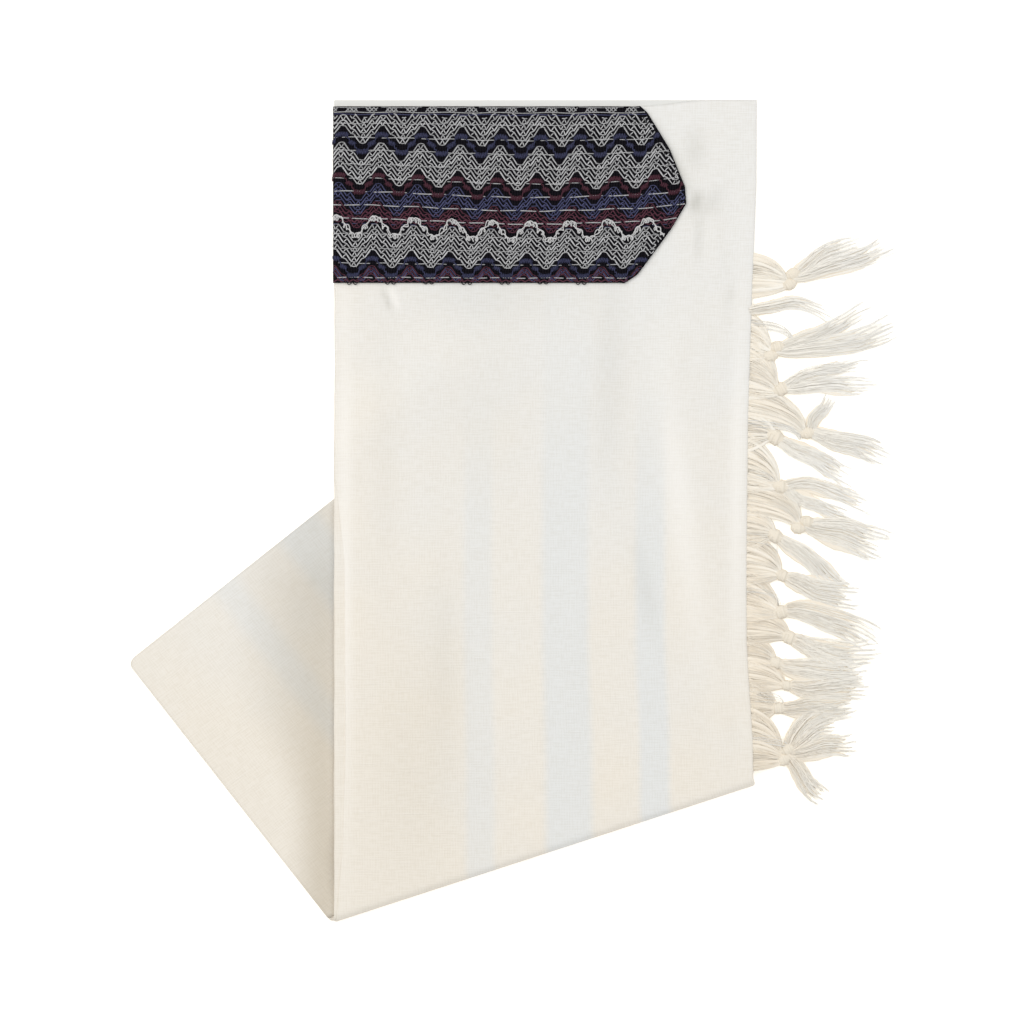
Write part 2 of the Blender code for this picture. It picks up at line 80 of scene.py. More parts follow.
LEFT_ROUND = 1.6 * MM
RIGHT_ROUND = 2.0 * MM
REAR_ROUND = 2.2 * MM
REAR_PANEL_START = -0.6 * MM
REAR_PANEL_INSET = 3 * MM
NECK_EDGE_DROP = 4.6 * MM
DROP_ENDS = 217 * MM
DROP_FADES = 53 * MM
BAND_CLOTH = 1.4 * MM
BAND_FROM_EDGE = 0.2 * MM

# Grids of the outer cloths, and the arcs of their rounded sides: start and end
# in degrees, and steps.
DOWN_STEPS = 201
FRONT_COLUMNS = 91
REAR_COLUMNS = 101
REAR_STEPS = 91
LAYER_COLUMNS = 41
LEFT_LIP = (178, 90, 10)
RIGHT_LIP = (-90, 50, 13)
REAR_LIP = (196, 90, 11)

# How far the right-hand fold draws in: distance down, distance in (mm).
RIGHT_FOLD = (
    # down, in
    (0, 0.0), (60, 0.3), (142, 3.4), (227, 6.0), (326, 7.0),
    (383, 7.0), (412, 5.6), (455, 3.0), (520, 2.4),
)

# How far the front cloth's left fold lies in from the rolls below it (mm).
FRONT_SET_BACK = (
    # down, in
    (0, 1.2), (268, 1.2), (330, 7.6), (460, 8.2), (530, 6.0), (578, 2.0),
)

# Rounded folds that show at the sides of the hidden layers, outer face first:
# distance in at the left and at the right (mm), share of the depth where it
# ends, distance back from the two cut ends (mm).
LAYER_FOLDS = (
    # left_in, right_in, ends, end_in
    (0.3, 1.2, 0.70, 0.0),
    (0.0, 2.2, 0.38, 0.2),
    (1.0, 0.4, 0.00, 0.0),
)

# Rows of each fold from -1 to 1 through it, how far the outer ones draw in, how
# quickly the cut end's set-back fades down the strip, and the sides' wandering.
FOLD_PLACES = (-1.0, -0.75, -0.3, 0.3, 0.75, 1.0)
FOLD_DIP = 1.0 * MM
END_BACK_PACE = 12.0
LAYER_UNEVEN = 0.35 * MM
WANDER_WAVES = (
    # length, share
    (61, 0.5), (23, 0.3), (9.5, 0.2),
)

# The uppermost roll's puff: its height, how far past the set-back it reaches
# and fades, the set-back and the share of depth that bring it out in full.
ROLL_PUFF = 0.95 * MM
PUFF_REACH = 1.8 * MM
PUFF_FADE = 2.6 * MM
PUFF_SET_BACK = 5 * MM
PUFF_DEPTH = 0.9

# Soft swells (+) and troughs (-) of the front stretch.
FRONT_DRAPE = (
    # across, down, half_length, half_width, height, turn
    (256, 80, 66, 18, 0.8, 8),
    (150, 215, 120, 55, 0.6, 70),
    (60, 330, 90, 40, 0.6, 20),
    (205, 330, 110, 45, 0.7, -35),
    (258, 430, 60, 18, 0.8, 12),
    (95, 470, 80, 38, 0.6, -60),
    (38, 142, 14, 3.5, -0.7, 20),
    (44, 141, 14, 4, 0.9, 20),
    (257, 73, 12, 6, -1.1, -20),
    (262, 98, 26, 5, -0.8, 0),
    (272, 100, 60, 7, 1.2, 9),
    (284, 70, 50, 6, -0.6, 6),
    (226, 345, 60, 10, -0.8, 12),
    (248, 300, 120, 11, 1.1, 8),
    (281, 425, 42, 6, 1.2, 14),
    (268, 446, 46, 7, -0.7, 12),
    (236, 205, 70, 12, 0.7, -24),
    (120, 300, 100, 16, 0.5, 6),
    (176, 380, 90, 14, 0.5, -8),
    (40, 430, 70, 12, 0.6, 4),
    (150, 500, 70, 12, -0.4, 74),
    (215, 490, 60, 9, 0.5, 68),
    (80, 210, 60, 14, -0.4, 30),
)

# Painted shade (+) in the front cloth's hollows, with the band's painted shadow
# beside its edge, and a painted highlight (-) on its ridges, in the same columns.
FRONT_PAINTED_SHADING = (
    (8, 330, 270, 8, -0.45, 0),
    (115, 138, 30, 75, 0.24, 0),
    (105, 205, 90, 60, 0.12, 0),
    (58, 468, 120, 46, 0.22, 0),
    (37, 250, 140, 15, 0.13, 0),
    (80, 400, 90, 16, 0.20, 0),
    (199, 190, 110, 18, 0.26, 0),
    (226, 345, 46, 9, 0.26, 12),
    (252, 290, 130, 14, -0.42, 8),
    (292, 270, 170, 8, -0.42, 0),
    (241, 42, 36, 5, 0.75, 28),
    (256, 36, 20, 11, 0.42, 0),
    (257, 73, 11, 5, 0.95, -20),
    (267, 74, 16, 9, 0.42, -40),
    (260, 98, 22, 4, 0.42, 0),
    (284, 139, 12, 4, 0.30, -15),
    (38, 142, 11, 2.6, 0.70, 20),
    (44, 141, 11, 3, -0.60, 20),
)

# Soft swells (+) and troughs (-) of the rear stretch, which sags beside the front one.
REAR_DRAPE = (
    # across, past, half_length, half_width, height, turn
    (215, 128, 60, 34, -2.4, 40),
    (150, 92, 60, 30, -2.6, 36),
    (85, 60, 60, 26, -2.4, 34),
    (35, 34, 44, 16, -1.8, 34),
    (176, 168, 60, 22, 0.9, 48),
    (110, 150, 70, 26, 1.0, 30),
    (60, 110, 60, 24, 0.7, 20),
    (230, 190, 40, 20, 0.5, 60),
    (80, 200, 50, 24, -0.5, 80),
)

# Where the swells fade: at the strip's sides, at the front's ends as a share of
# its length, past the fold, before the rear end, and beside the front cloth.
DRAPE_SIDES = 12 * MM
DRAPE_ENDS = 0.125
REAR_DRAPE_START = 20 * MM
REAR_DRAPE_END = 16 * MM
CLEAR_FROM = 9 * MM
CLEAR_OVER = 12 * MM

# Painted shade of the rear cloth beside the front cloth: its least share at that
# cloth's edge and where it is full, where it fades and over what width, how much
# narrower that gets down the strip, and its least share above its lower part.
REAR_SHADE_EDGE = 0.55
REAR_SHADE_FULL = 5 * MM
REAR_SHADE_FADES = 8 * MM
REAR_SHADE_WIDE = 74 * MM
REAR_SHADE_NARROWS = 0.62
REAR_SHADE_NARROWED = 110 * MM
REAR_SHADE_TOP = 0.62
REAR_SHADE_DEEPENS = -15 * MM
REAR_SHADE_DEEP = 45 * MM

# Outline of the neck band: distance down from its top edge, reach across (mm).
NECK_BAND = (
    # down, reach
    (0.0, 217), (4.6, 222), (18.0, 230), (32.0, 238), (46.0, 243.5), (60.0, 249),
    (72.0, 250.3), (88.0, 240.5), (107.0, 226), (119.0, 217), (125.0, 208),
)
BAND_DEEP = 125 * MM
BAND_TURNED = 5.6 * MM
BAND_INSET = 0.5 * MM
BAND_STEPS = 81
BAND_COLUMNS = 121
BAND_TURNED_COLUMNS = 8

# The turned hem of the pointed end, and its line of stitches.
HEM_SLANT = 0.82
HEM_IN = 2.6 * MM
HEM_WIDE = 2.2 * MM
HEM_HIGH = 0.45 * MM
HEM_LINE_IN = 4.6 * MM
HEM_STITCH = 3.4 * MM
HEM_THREAD = 0.36 * MM

# The small loops below the band: apart in a pair, half width, yarn, and end.
LOOP_APART = 2.2
LOOP_HALF_WIDE = 1.5 * MM
LOOP_YARN = 0.33 * MM
LOOPS_END = 195 * MM
LOOP_PAIRS = 7
LOOP_POINTS = 14

# The zigzag that every row of the band follows: its pitch and fall, the share
# of the fall that is level at its turns, where it starts, how it leans back and
# how it closes up down the band.
ZIG_PITCH = 28.3 * MM
ZIG_RISE = 12.6 * MM
ZIG_FLAT = 0.085
ZIG_START = 4.65 * MM
ZIG_LEAN = 0.068
ZIG_CLOSE = 0.3
TURN_STEP = 0.025
SATIN_TURN_STEP = TURN_STEP / 2.5
FIRST_TURN = -0.4
LAST_TURN = 9.4

# How the rows sink towards the middle of the band, and rise again past it.
SAG_SINK = 4.6 * MM
SAG_RISE = 2.2 * MM
SAG_MIDDLE = 140 * MM
SAG_BEYOND = 90 * MM

# Rows of yarn on the band: colour, first and last row's place down at a peak
# (mm), rows, kind, half width and height (mm), and for the straight rows how
# often they dip into the ground in one turn of the zigzag and for how much.
BAND_ROWS = (
    # colour, first, last, rows, kind, half_width, lift, dips, hidden
    ("pale", 0.7, 0.7, 1, "straight", 0.22, 0.10, 0.1, 0.00),
    ("pale", 2.3, 2.3, 1, "bits", 0.38, 0.45, 0, 0),
    ("pale", 4.2, 4.2, 1, "straight", 0.33, 0.40, 0.1, 0.00),
    ("navy", 5.6, 5.6, 1, "straight", 0.33, 0.35, 0.1, 0.00),
    ("pale", -8.1, 13.5, 7, "net", 0.39, 0.45, 0, 0),
    ("pale", 12.1, 12.1, 1, "straight", 0.30, 0.60, 1, 0.12),
    ("navy", 19.6, 19.6, 1, "satin", 2.15, 0.55, 0, 0),
    ("pale", 21.9, 21.9, 1, "straight", 0.33, 0.45, 1, 0.10),
    ("pale", 31.0, 31.0, 1, "straight", 0.33, 0.45, 1, 0.14),
    ("pale", 25.6, 42.6, 6, "net", 0.39, 0.45, 0, 0),
    ("pale", 40.9, 40.9, 1, "straight", 0.30, 0.60, 1, 0.18),
    ("maroon", 48.3, 48.3, 1, "satin", 2.05, 0.55, 0, 0),
    ("pale", 50.6, 50.6, 1, "straight", 0.36, 0.55, 2, 0.22),
    ("navy", 54.2, 63.8, 4, "net", 0.36, 0.30, 0, 0),
    ("maroon", 67.0, 73.4, 3, "net", 0.36, 0.25, 0, 0),
    ("navy", 66.2, 66.2, 1, "straight", 0.32, 0.40, 4, 0.25),
    ("maroon", 74.9, 81.2, 3, "rib", 0.34, 0.25, 0, 0),
    ("navy", 83.0, 83.0, 1, "straight", 0.30, 0.40, 4, 0.30),
    ("pale", 60.1, 60.1, 1, "straight", 0.42, 0.75, 1, 0.13),
    ("pale", 69.7, 69.7, 1, "straight", 0.42, 0.75, 2, 0.10),
    ("pale", 79.3, 79.3, 1, "straight", 0.42, 0.70, 2, 0.14),
    ("pale", 83.2, 101.2, 6, "net", 0.39, 0.45, 0, 0),
    ("pale", 89.9, 89.9, 1, "straight", 0.28, 0.55, 2, 0.26),
    ("pale", 100.4, 100.4, 1, "straight", 0.28, 0.55, 1, 0.24),
    ("navy", 107.4, 107.4, 1, "satin", 2.05, 0.55, 0, 0),
    ("pale", 111.0, 111.0, 1, "straight", 0.33, 0.45, 2, 0.30),
    ("maroon", 112.8, 118.8, 3, "net", 0.33, 0.20, 0, 0),
    ("navy", 114.2, 117.4, 2, "net", 0.30, 0.35, 0, 0),
    ("pale", 121.2, 121.2, 1, "straight", 0.38, 0.60, 3, 0.18),
    ("maroon", 123.4, 123.4, 1, "rib", 0.50, 0.10, 0, 0),
)
NET_STEPS = (
    # turns from a peak, share climbed, rows that the crossing yarn is lower
    (0, 0, 1), (0.066, 0.03, 0), (0.206, 0.465, 0),
    (0.294, 0.535, -1), (0.434, 0.97, -1), (0.5, 1, -2),
)
SATIN_STEPS = (
    # turns from a peak, share climbed, 1 where the row is at its full height
    (0, 0, 1), (0.12, 0.05, 1), (0.16, 0.25, 0), (0.2, 0.45, 1),
    (0.3, 0.55, 1), (0.34, 0.75, 0), (0.38, 0.95, 1), (0.5, 1, 1),
)

# Yarns over and under each other: how often in a turn, and how high.
PLAITS = 5
PLAIT_LIFT = 0.16 * MM

# Nets: how far the crossing yarns lie apart and sway (mm), how far past its
# first and last row a net shows, and where it starts below the neck edge.
NET_APART = 0.12
NET_SWAY = 0.22
NET_MORE = 0.05
NET_OVER = 0.1 * MM
EDGE_ROWS = 5.2 * MM
EDGE_DIP = 2.6 * MM

# Satin, bits, ribs and straight yarns.
SATIN_YARN = 0.44 * MM
SATIN_TEETH = 16
SATIN_NARROW = 0.45
SATIN_CROWN = 0.7 * MM
SATIN_FILL_LIFT = 0.1 * MM
HALF_BIT = 1.4 * MM
RIB_TOOTH = 0.7 * MM
STRAIGHT_SWAY = 0.25 * MM
DIP_SHIFT = 0.37
DIP_DEEP = 0.3
HALF_GAP = 0.1
YARN_TURNED = 3.4 * MM

# The curled row: its place down, curls in a turn and middle height, its first
# and last turn with the step between points, and where it stops at both ends.
CURLED_ROW = 78.9 * MM
CURLS = 6.5
CURL_LIFT = 1.0 * MM
CURLED_TURNS = (-0.34, 9.0, 0.0085)
CURL_INSET = 1.2 * MM
CURL_TURNED = 3.2 * MM

# The tassels: stretch of cloth edge that runs to the knot, the knot's place
# out from the edge and down, and its width (mm).
TASSELS = (
    # fan_top, fan_foot, knot_out, knot_down, knot_wide
    (112, 138, 24, 127, 11),
    (147, 152, 12, 145, 5),
    (153, 184, 12, 178, 11),
    (191, 211, 17, 205, 9),
    (217, 222, 36, 236, 8),
    (230, 248, 13, 239, 10),
    (258, 276, 17, 274, 9),
    (284, 291, 32, 301, 11),
    (300, 318, 13, 309, 9),
    (326, 344, 18, 337, 8),
    (352, 368, 17, 363, 9),
    (374, 384, 23, 381, 9),
    (390, 402, 14, 399, 8),
    (408, 418, 21, 415, 7),
    (424, 440, 15, 431, 8),
    (448, 472, 20, 464, 11),
)

# The locks below each knot: which tassel, bend and tip (mm out and down),
# spread at the tip (mm), and how full the lock is.
LOCKS = (
    # tassel, bend_out, bend_down, tip_out, tip_down, spread, full
    (0, 40, 110, 70, 102, 8, 3), (0, 56, 122, 92, 103, 9, 4),
    (1, 26, 140, 48, 152, 6, 3),
    (2, 40, 168, 76, 149, 7, 3), (2, 54, 180, 95, 161, 11, 5),
    (3, 36, 192, 74, 187, 6, 3), (3, 40, 202, 78, 203, 8, 4),
    (4, 42, 224, 52, 212, 6, 2), (4, 60, 240, 89, 252, 11, 5),
    (5, 34, 252, 63, 267, 9, 5),
    (6, 44, 268, 77, 287, 7, 3), (6, 34, 287, 66, 297, 6, 3),
    (7, 58, 306, 88, 317, 16, 7),
    (8, 34, 322, 60, 348, 9, 5),
    (9, 42, 348, 68, 352, 12, 5),
    (10, 44, 358, 82, 383, 13, 5),
    (11, 42, 394, 80, 391, 11, 4), (11, 40, 386, 66, 404, 10, 4),
    (12, 38, 408, 74, 405, 12, 5),
    (13, 44, 419, 76, 416, 12, 5),
    (14, 42, 432, 66, 429, 10, 4),
    (15, 27, 441, 62, 430, 11, 4), (15, 34, 447, 54, 443, 9, 4), (15, 44, 460, 67, 457, 10, 4),
    (15, 34, 484, 46, 494, 9, 4),
)

# Threads that have slipped their knots and loop beside the cloth.
LOOSE_ARCS = (
    # root_down, reach_out, end_out, end_down, threads
    (156, 27, 25, 172, 18),
    (226, 29, 31, 240, 14),
    (262, 16, 12, 272, 5),
    (308, 17, 14, 322, 5),
    (345, 20, 16, 358, 6),
    (418, 24, 18, 428, 6),
    (450, 26, 22, 462, 7),
)
FRINGE_SEED = 700
LOOSE_SEED = 61
THREAD_RADIUS = 0.2 * MM
ROOT_IN = 1.6 * MM
LOOSE_STEPS = 14

# Fans: the tassel that the thick ones start from, threads and plies for each
# millimetre of edge, millimetres more at both ends, how they crowd to the foot,
# the share of the knot that they fill, where their two inner guides lie between
# the ends, and the fall at which they lean over in full.
THICK_FROM = 3
FAN_THREADS = 4.8
FAN_PLIES = 0.75
FAN_STEPS = 10
FAN_MORE = 2.0
FAN_CROWDING = 1.15
FAN_LEANS = 26 * MM
FIRST_GUIDE = np.array([0.0, 0.16, 0.2])
SECOND_GUIDE = np.array([0.0, 0.40, 0.1])

# Knots: half height, middle height, the share that the fan fills, the widths
# (mm) from which a tassel has a fan and a knot has two eggs, and where each egg
# lies ahead and aside in widths, with its size.
KNOT_HALF_HIGH = 2.75 * MM
KNOT_MIDDLE = 2.8 * MM
KNOT_FILL = 0.62
FAN_FROM = 6
WIDE_FROM = 10.5
NARROW_KNOT = ((0.0, 0.0, 1.0),)
WIDE_KNOT = ((-0.22, -0.26, 0.72), (0.26, 0.24, 0.72))

# An egg's length, and its rope's turns, distance out and thickness, all in the
# knot's half widths but the turns; and how deep the ridges of both are.
EGG_LONG = 2.5
ROPE_TURNS = 1.3
ROPE_OUT = 0.80
ROPE_THICK = 0.30
ROPE_POINTS = 36
RIDGE_DEPTH = 0.07

# Locks: threads for each unit of fullness, points along, width at the knot
# (mm), widening, how far tufts draw together, how far plies reach, heights of
# the bend and the tip, and the bow, the tufts' wave and the threads' wave.
LOCK_THREADS = 23
LOCK_STEPS = 12
LOCK_START = 5.6
LOCK_SPREAD = 1.75
TUFT_PULL = 0.5
PLY_REACH = 0.86
BEND_HIGH = 3.4 * MM
TIP_HIGH = 1.2 * MM
BOW = 1.6 * MM
TUFT_WAVE = 0.45 * MM
TUFT_WAVE_LONG = 21 * MM
FINE_WAVE = 0.22 * MM
FINE_WAVE_LONG = 8 * MM

# Creamier shade of each tassel below the first few, and the plies' painted warm shade.
CREAM_FROM = 5
FRINGE_CREAM = 0.03
PLY_PAINTED_SHADE = 0.5

# Stripes of the front and of the rear stretch: middle, half width and softness
# across (mm), full and faint strength, and how far down the first takes over.
FRONT_STRIPES = (
    # middle, half, soft, strength, faint, begins, ends
    (104.7, 10.0, 3.5, 0.55, 0.05, 200, 300),
    (168, 16.5, 4, 0.85, 0.25, 150, 320),
    (229.4, 10.5, 3.5, 0.90, 0.12, 180, 330),
)
REAR_STRIPES = (
    # middle, half, soft, strength, faint, begins, ends
    (89, 10, 7, 0.55, 0.55, 0, 1),
    (155, 17, 7, 0.85, 0.85, 0, 1),
)
STRIPE_UNEVEN = 5.0 * MM

# Grain of the cloth and the yarns, in waves to the metre along each axis, and
# the pitch of the cloth's threads and of the band's stitches.
WEFT = (90.0, 1250.0, 1.0)
WARP = (1250.0, 110.0, 1.0)
SLUBS = (26.0, 760.0, 1.0)
CLOUDS = (13.0, 13.0, 1.0)
YARN_FIBRE = (1700.0, 900.0, 900.0)
COTTON_FIBRE = (500.0, 1100.0, 900.0)
WARP_PITCH = 1.9 * MM
WEFT_PITCH = 1.7 * MM
STITCH_WIDE = 1.9 * MM
STITCH_HIGH = 1.25 * MM

# Where the ivory warms down the strip, cools again and warms at the left, and
# where the neck edge greys; and the white of the slubs.
WARM_DOWN = (40 * MM, 640 * MM)
WARM_BACK = (620 * MM, 800 * MM)
WARM_LEFT = 110 * MM
EDGE_GREY = (14 * MM, 7 * MM)
SLUB_WHITE = (0.92, 0.91, 0.87, 1.0)

# The studio: the view's width, the floor, the lights and the camera's place.
FRAME_PIXELS = 1024
PIXEL_MM = 0.70922
FRAME_WIDTH = FRAME_PIXELS * PIXEL_MM * MM
FLOOR_REACH = 3.0
FLOOR_GAP = 0.2 * MM
LIGHT_SIZE = 2.2
KEY_PLACE = (-1.4, 1.0, 2.2)
FILL_PLACE = (1.6, 0.1, 2.3)
CAMERA_OFF = (0.35 * MM, -1.1 * MM)

REAR_WAY = np.array([math.cos(REAR_ANGLE), math.sin(REAR_ANGLE)])
REAR_ACROSS = np.array([math.sin(REAR_ANGLE), -math.cos(REAR_ANGLE)])
BEND_OUTWARD = np.array([math.sin(FOLD_SLOPE), -math.cos(FOLD_SLOPE)])


# ---------------------------------------------------------------- arithmetic
def ease(share):
    """Goes from 0 to 1 as three squares less two cubes, level at both ends."""
    share = np.clip(share, 0.0, 1.0)
    return share * share * (3.0 - 2.0 * share)


def table(rows, at):
    """Reads a two-column table in millimetres at a place in metres."""
    rows = np.array(rows) * MM
    return np.interp(at, rows[:, 0], rows[:, 1])


def unit(vectors):
    """Each vector over its own length."""
    return vectors / np.maximum(np.linalg.norm(vectors, axis=-1, keepdims=True), 1e-12)


def stacked(*coordinates):
    """Coordinates side by side as points, each stretched to the same shape."""
    return np.stack(np.broadcast_arrays(*coordinates), axis=-1)


# ------------------------------------------------------- places in the strip
def fold_down(across):
    """Distance down to the slanting fold: a straight slope across the strip."""
    return FOLD_FROM_NECK - across * math.tan(FOLD_SLOPE)


def front_plan(across, down):
    """Plan place of the front stretch, narrowed in proportion by the right fold."""
    narrowed = 1.0 - table(RIGHT_FOLD, down) / STRIP_WIDTH
    return STRIP_LEFT + across * narrowed, NECK_EDGE - down


def overhang(across):
    """Place across where the fold is crossed once turned under."""
    return across - REAR_OVERHANG * (1.0 - across / STRIP_WIDTH)


def rear_end(across):
    """Length of the rear stretch past the fold, less a quarter-circle corner."""
    slant = math.cos(REAR_ANGLE - FOLD_SLOPE) / math.cos(FOLD_SLOPE)
    short = np.clip(REAR_CORNER - across, 0.0, REAR_CORNER)
    corner = REAR_CORNER - np.sqrt(REAR_CORNER**2 - short**2)
    return REAR_LENGTH - overhang(across) * slant - corner


def lies_on_rear(x, y):
    """1 where the front lies on the rear stretch, easing to 0 down the ramp."""
    foot_x, foot_y = front_plan(STRIP_WIDTH, fold_down(STRIP_WIDTH))
    side = (x - foot_x) * REAR_ACROSS[0] + (y - foot_y) * REAR_ACROSS[1]
    start_x, start_y = front_plan(0.0, fold_down(0.0))
    along = (x - start_x) * REAR_WAY[0] + (y - start_y) * REAR_WAY[1] - REAR_LENGTH
    beyond = np.hypot(np.maximum(side, 0.0), np.maximum(along, 0.0))
    return 1.0 - ease((beyond - PLATEAU) / RAMP)


def front_height(x, y, depth):
    """Height of a layer of the front, lowered by the step off the rear stretch."""
    return BEND_HEIGHT + depth - STEP_DOWN * (1.0 - lies_on_rear(x, y))


def bells(rows, across, down):
    """Sum of bell-shaped swells, each exp(-2 r squared) in its own ellipse."""
    total = np.zeros(np.broadcast(across, down).shape)
    for mid, drop, half_length, half_width, height, turn in rows:
        lean = math.radians(turn)
        side = across - mid * MM
        way = down - drop * MM
        along = way * math.cos(lean) + side * math.sin(lean)
        off = side * math.cos(lean) - way * math.sin(lean)
        share = (along / (half_length * MM)) ** 2 + (off / (half_width * MM)) ** 2
        total = total + height * np.exp(-2.0 * share)
    return total


def drape(rows, across, down):
    """The swells in metres, easing to none at both sides of the strip."""
    sides = np.minimum(across, STRIP_WIDTH - across)
    return bells(rows, across, down) * MM * ease(sides / DRAPE_SIDES)


def front_place(across, down, depth):
    """Front stretch: flat, lowered by the step off the rear one, plus the drape.

    The drape is scaled by depth over the outermost depth, so that the layers
    swell together and the lowest one stays where it lies.
    """
    x, y = front_plan(across, down)
    share = down / fold_down(across)
    fade = ease(share / DRAPE_ENDS) * ease((1.0 - share) / DRAPE_ENDS)
    swell = drape(FRONT_DRAPE, across, down) * fade * depth / FRONT_OUTER
    return stacked(x, y, front_height(x, y, depth) + swell)


def bend_place(across, turn, depth):
    """Round the slanting fold: a circle of radius depth, square to the fold."""
    shifted = across + (overhang(across) - across) * ease(turn / math.pi)
    x, y = front_plan(shifted, fold_down(shifted))
    out = depth * np.sin(turn)
    z = BEND_HEIGHT + depth * np.cos(turn)
    return stacked(x + BEND_OUTWARD[0] * out, y + BEND_OUTWARD[1] * out, z)


def rear_place(across, past, depth):
    """Rear stretch: on from the fold, its height scaled by the rear drape.

    The swells ease in past the fold and out before the cut end, and those that
    rise do so only where the front cloth doesn't lie above them.
    """
    shifted = overhang(across)
    x, y = front_plan(shifted, fold_down(shifted))
    x = x + REAR_WAY[0] * past
    y = y + REAR_WAY[1] * past
    fade = ease(past / REAR_DRAPE_START) * ease((rear_end(across) - past) / REAR_DRAPE_END)
    swell = drape(REAR_DRAPE, across, past) * fade
    clear_of_front = ease((STRIP_LEFT - x + CLEAR_FROM) / CLEAR_OVER)
    swell = np.where(swell > 0, swell * clear_of_front, swell)
    return stacked(x, y, (BEND_HEIGHT - depth) * (1.0 + swell / BEND_HEIGHT))


def wander(along, seed, size):
    """A slow uneven line: three sines of unlike lengths, size at most."""
    total = 0.0
    for number, (length, share) in enumerate(WANDER_WAVES):
        total = total + share * np.sin(along / (length * MM) * math.pi + seed * (number + 1.7))
    return total * size


# --------------------------------------------------------------- mesh makers
def make_object(name, verts, faces, uv=None, shade=None):
    """Links a smooth mesh; uv is a pair and shade a number for each point."""
    mesh = bpy.data.meshes.new(name)
    mesh.from_pydata(verts.reshape(-1, 3), [], faces)
    mesh.update()
    mesh.shade_smooth()
    if uv is not None:
        corners = np.empty(len(mesh.loops), dtype=np.int32)
        mesh.loops.foreach_get("vertex_index", corners)
        layer = mesh.uv_layers.new(name="cloth")
        layer.data.foreach_set("uv", uv.reshape(-1, 2)[corners].ravel())
    if shade is not None:
        layer = mesh.attributes.new("shade", "FLOAT", "POINT")
        layer.data.foreach_set("value", shade.ravel())
    made = bpy.data.objects.new(name, mesh)
    bpy.context.scene.collection.objects.link(made)
    return made


def grid_faces(number, wrap=False):
    """Quads between neighbours of grids of point numbers, wrapped if asked."""
    if wrap:
        number = np.concatenate([number, number[..., :1]], axis=-1)
    near, far = number[..., :-1, :], number[..., 1:, :]
    quads = [near[..., :-1], far[..., :-1], far[..., 1:], near[..., 1:]]
    return np.stack(quads, axis=-1).reshape(-1, 4)


def sheet_object(name, points, uv, thickness, side, shade=None):
    """A sheet through a grid of points, given its wall by Solidify."""
    number = np.arange(points.shape[0] * points.shape[1]).reshape(points.shape[:2])
    made = make_object(name, points, grid_faces(number), uv, shade)
    wall = made.modifiers.new("cloth wall", "SOLIDIFY")
    wall.thickness = thickness
    wall.offset = side
    wall.use_even_offset = True
    wall.use_rim = True
    return made


def block_object(name, points, uv):
    """The closed skin of a block of points: six grids that share their edges."""
    number = np.arange(points[..., 0].size).reshape(points.shape[:3])
    sides = [
        number[0], number[-1, ::-1],
        number[:, 0][::-1], number[:, -1],
        number[:, :, 0], number[:, ::-1, -1],
    ]
    faces = np.concatenate([grid_faces(side) for side in sides])
    used, faces = np.unique(faces, return_inverse=True)
    verts = points.reshape(-1, 3)[used]
    return make_object(name, verts, faces.reshape(-1, 4), uv.reshape(-1, 2)[used])


def frames(paths):
    """Level sideways and upward directions, square to each point's way along."""
    way = unit(np.gradient(paths, axis=-2))
    level = unit(np.cross(way, (0.0, 0.0, 1.0)))
    return level, np.cross(level, way)


def tubes(paths, radius, sides, flat=1.0, ridges=0, twist=0.0, roll=0.0):
    """Points, quads and end caps of closed tubes, one round each path.

    Each ring is a circle square to the path, squashed upwards by flat.  With
    ridges, its radius grows and shrinks as the cosine of so many times the
    angle, turning along the path by twist; roll turns the whole ring.  Paths is
    threads x points x 3.
    """
    level, up = frames(paths)
    count, length = paths.shape[:2]
    angle = np.arange(sides) * math.tau / sides + np.reshape(roll, (-1, 1, 1))
    turn = np.linspace(0.0, twist, length)[:, None]
    swell = 1.0 + (RIDGE_DEPTH * np.cos(ridges * angle + turn) if ridges else 0.0 * turn)
    radius = np.broadcast_to(radius, (count, length))[..., None] * swell
    across = (np.cos(angle) * radius)[..., None] * level[:, :, None]
    along = (np.sin(angle) * radius * flat)[..., None] * up[:, :, None]
    verts = paths[:, :, None] + across + along
    number = np.arange(count * length * sides).reshape(count, length, sides)
    caps = np.concatenate([number[:, 0], number[:, -1, ::-1]])
    return verts, grid_faces(number, wrap=True), caps


def tube_object(name, groups, smooth_from=0):
    """Several sets of tubes, each with its shade, as one joined mesh.

    Sets before smooth_from keep flat faces, as thin three-sided threads need.
    """
    verts, faces, shades, smooth, start = [], [], [], [], 0
    for order, ((points, quads, caps), shade) in enumerate(groups):
        verts.append(points.reshape(-1, 3))
        smooth += [order >= smooth_from] * (len(quads) + len(caps))
        faces += (quads + start).tolist() + (caps + start).tolist()
        shade = np.reshape(shade, np.shape(shade) + (1,) * (points.ndim - 1 - np.ndim(shade)))
        shades.append(np.broadcast_to(shade, points.shape[:-1]).ravel())
        start += len(verts[-1])
    made = make_object(name, np.concatenate(verts), faces, shade=np.concatenate(shades))
    made.data.polygons.foreach_set("use_smooth", smooth)
    return made


# --------------------------------------------------------------- cloth pieces
def arc(start, end, steps):
    """Angles in radians from start to end in degrees, the end left out."""
    return np.radians(np.linspace(start, end, steps, endpoint=False))


def front_start(across):
    """Drop of the front cloth's neck edge, easing away past the band's point."""
    return NECK_EDGE_DROP * (1.0 - ease((across - DROP_ENDS) / DROP_FADES))


def way_down(share, across, end_back):
    """A share of the way to the fold, with the cut end drawn back near it."""
    return share * fold_down(across) + end_back * np.clip(1.0 - share * END_BACK_PACE, 0.0, 1.0)


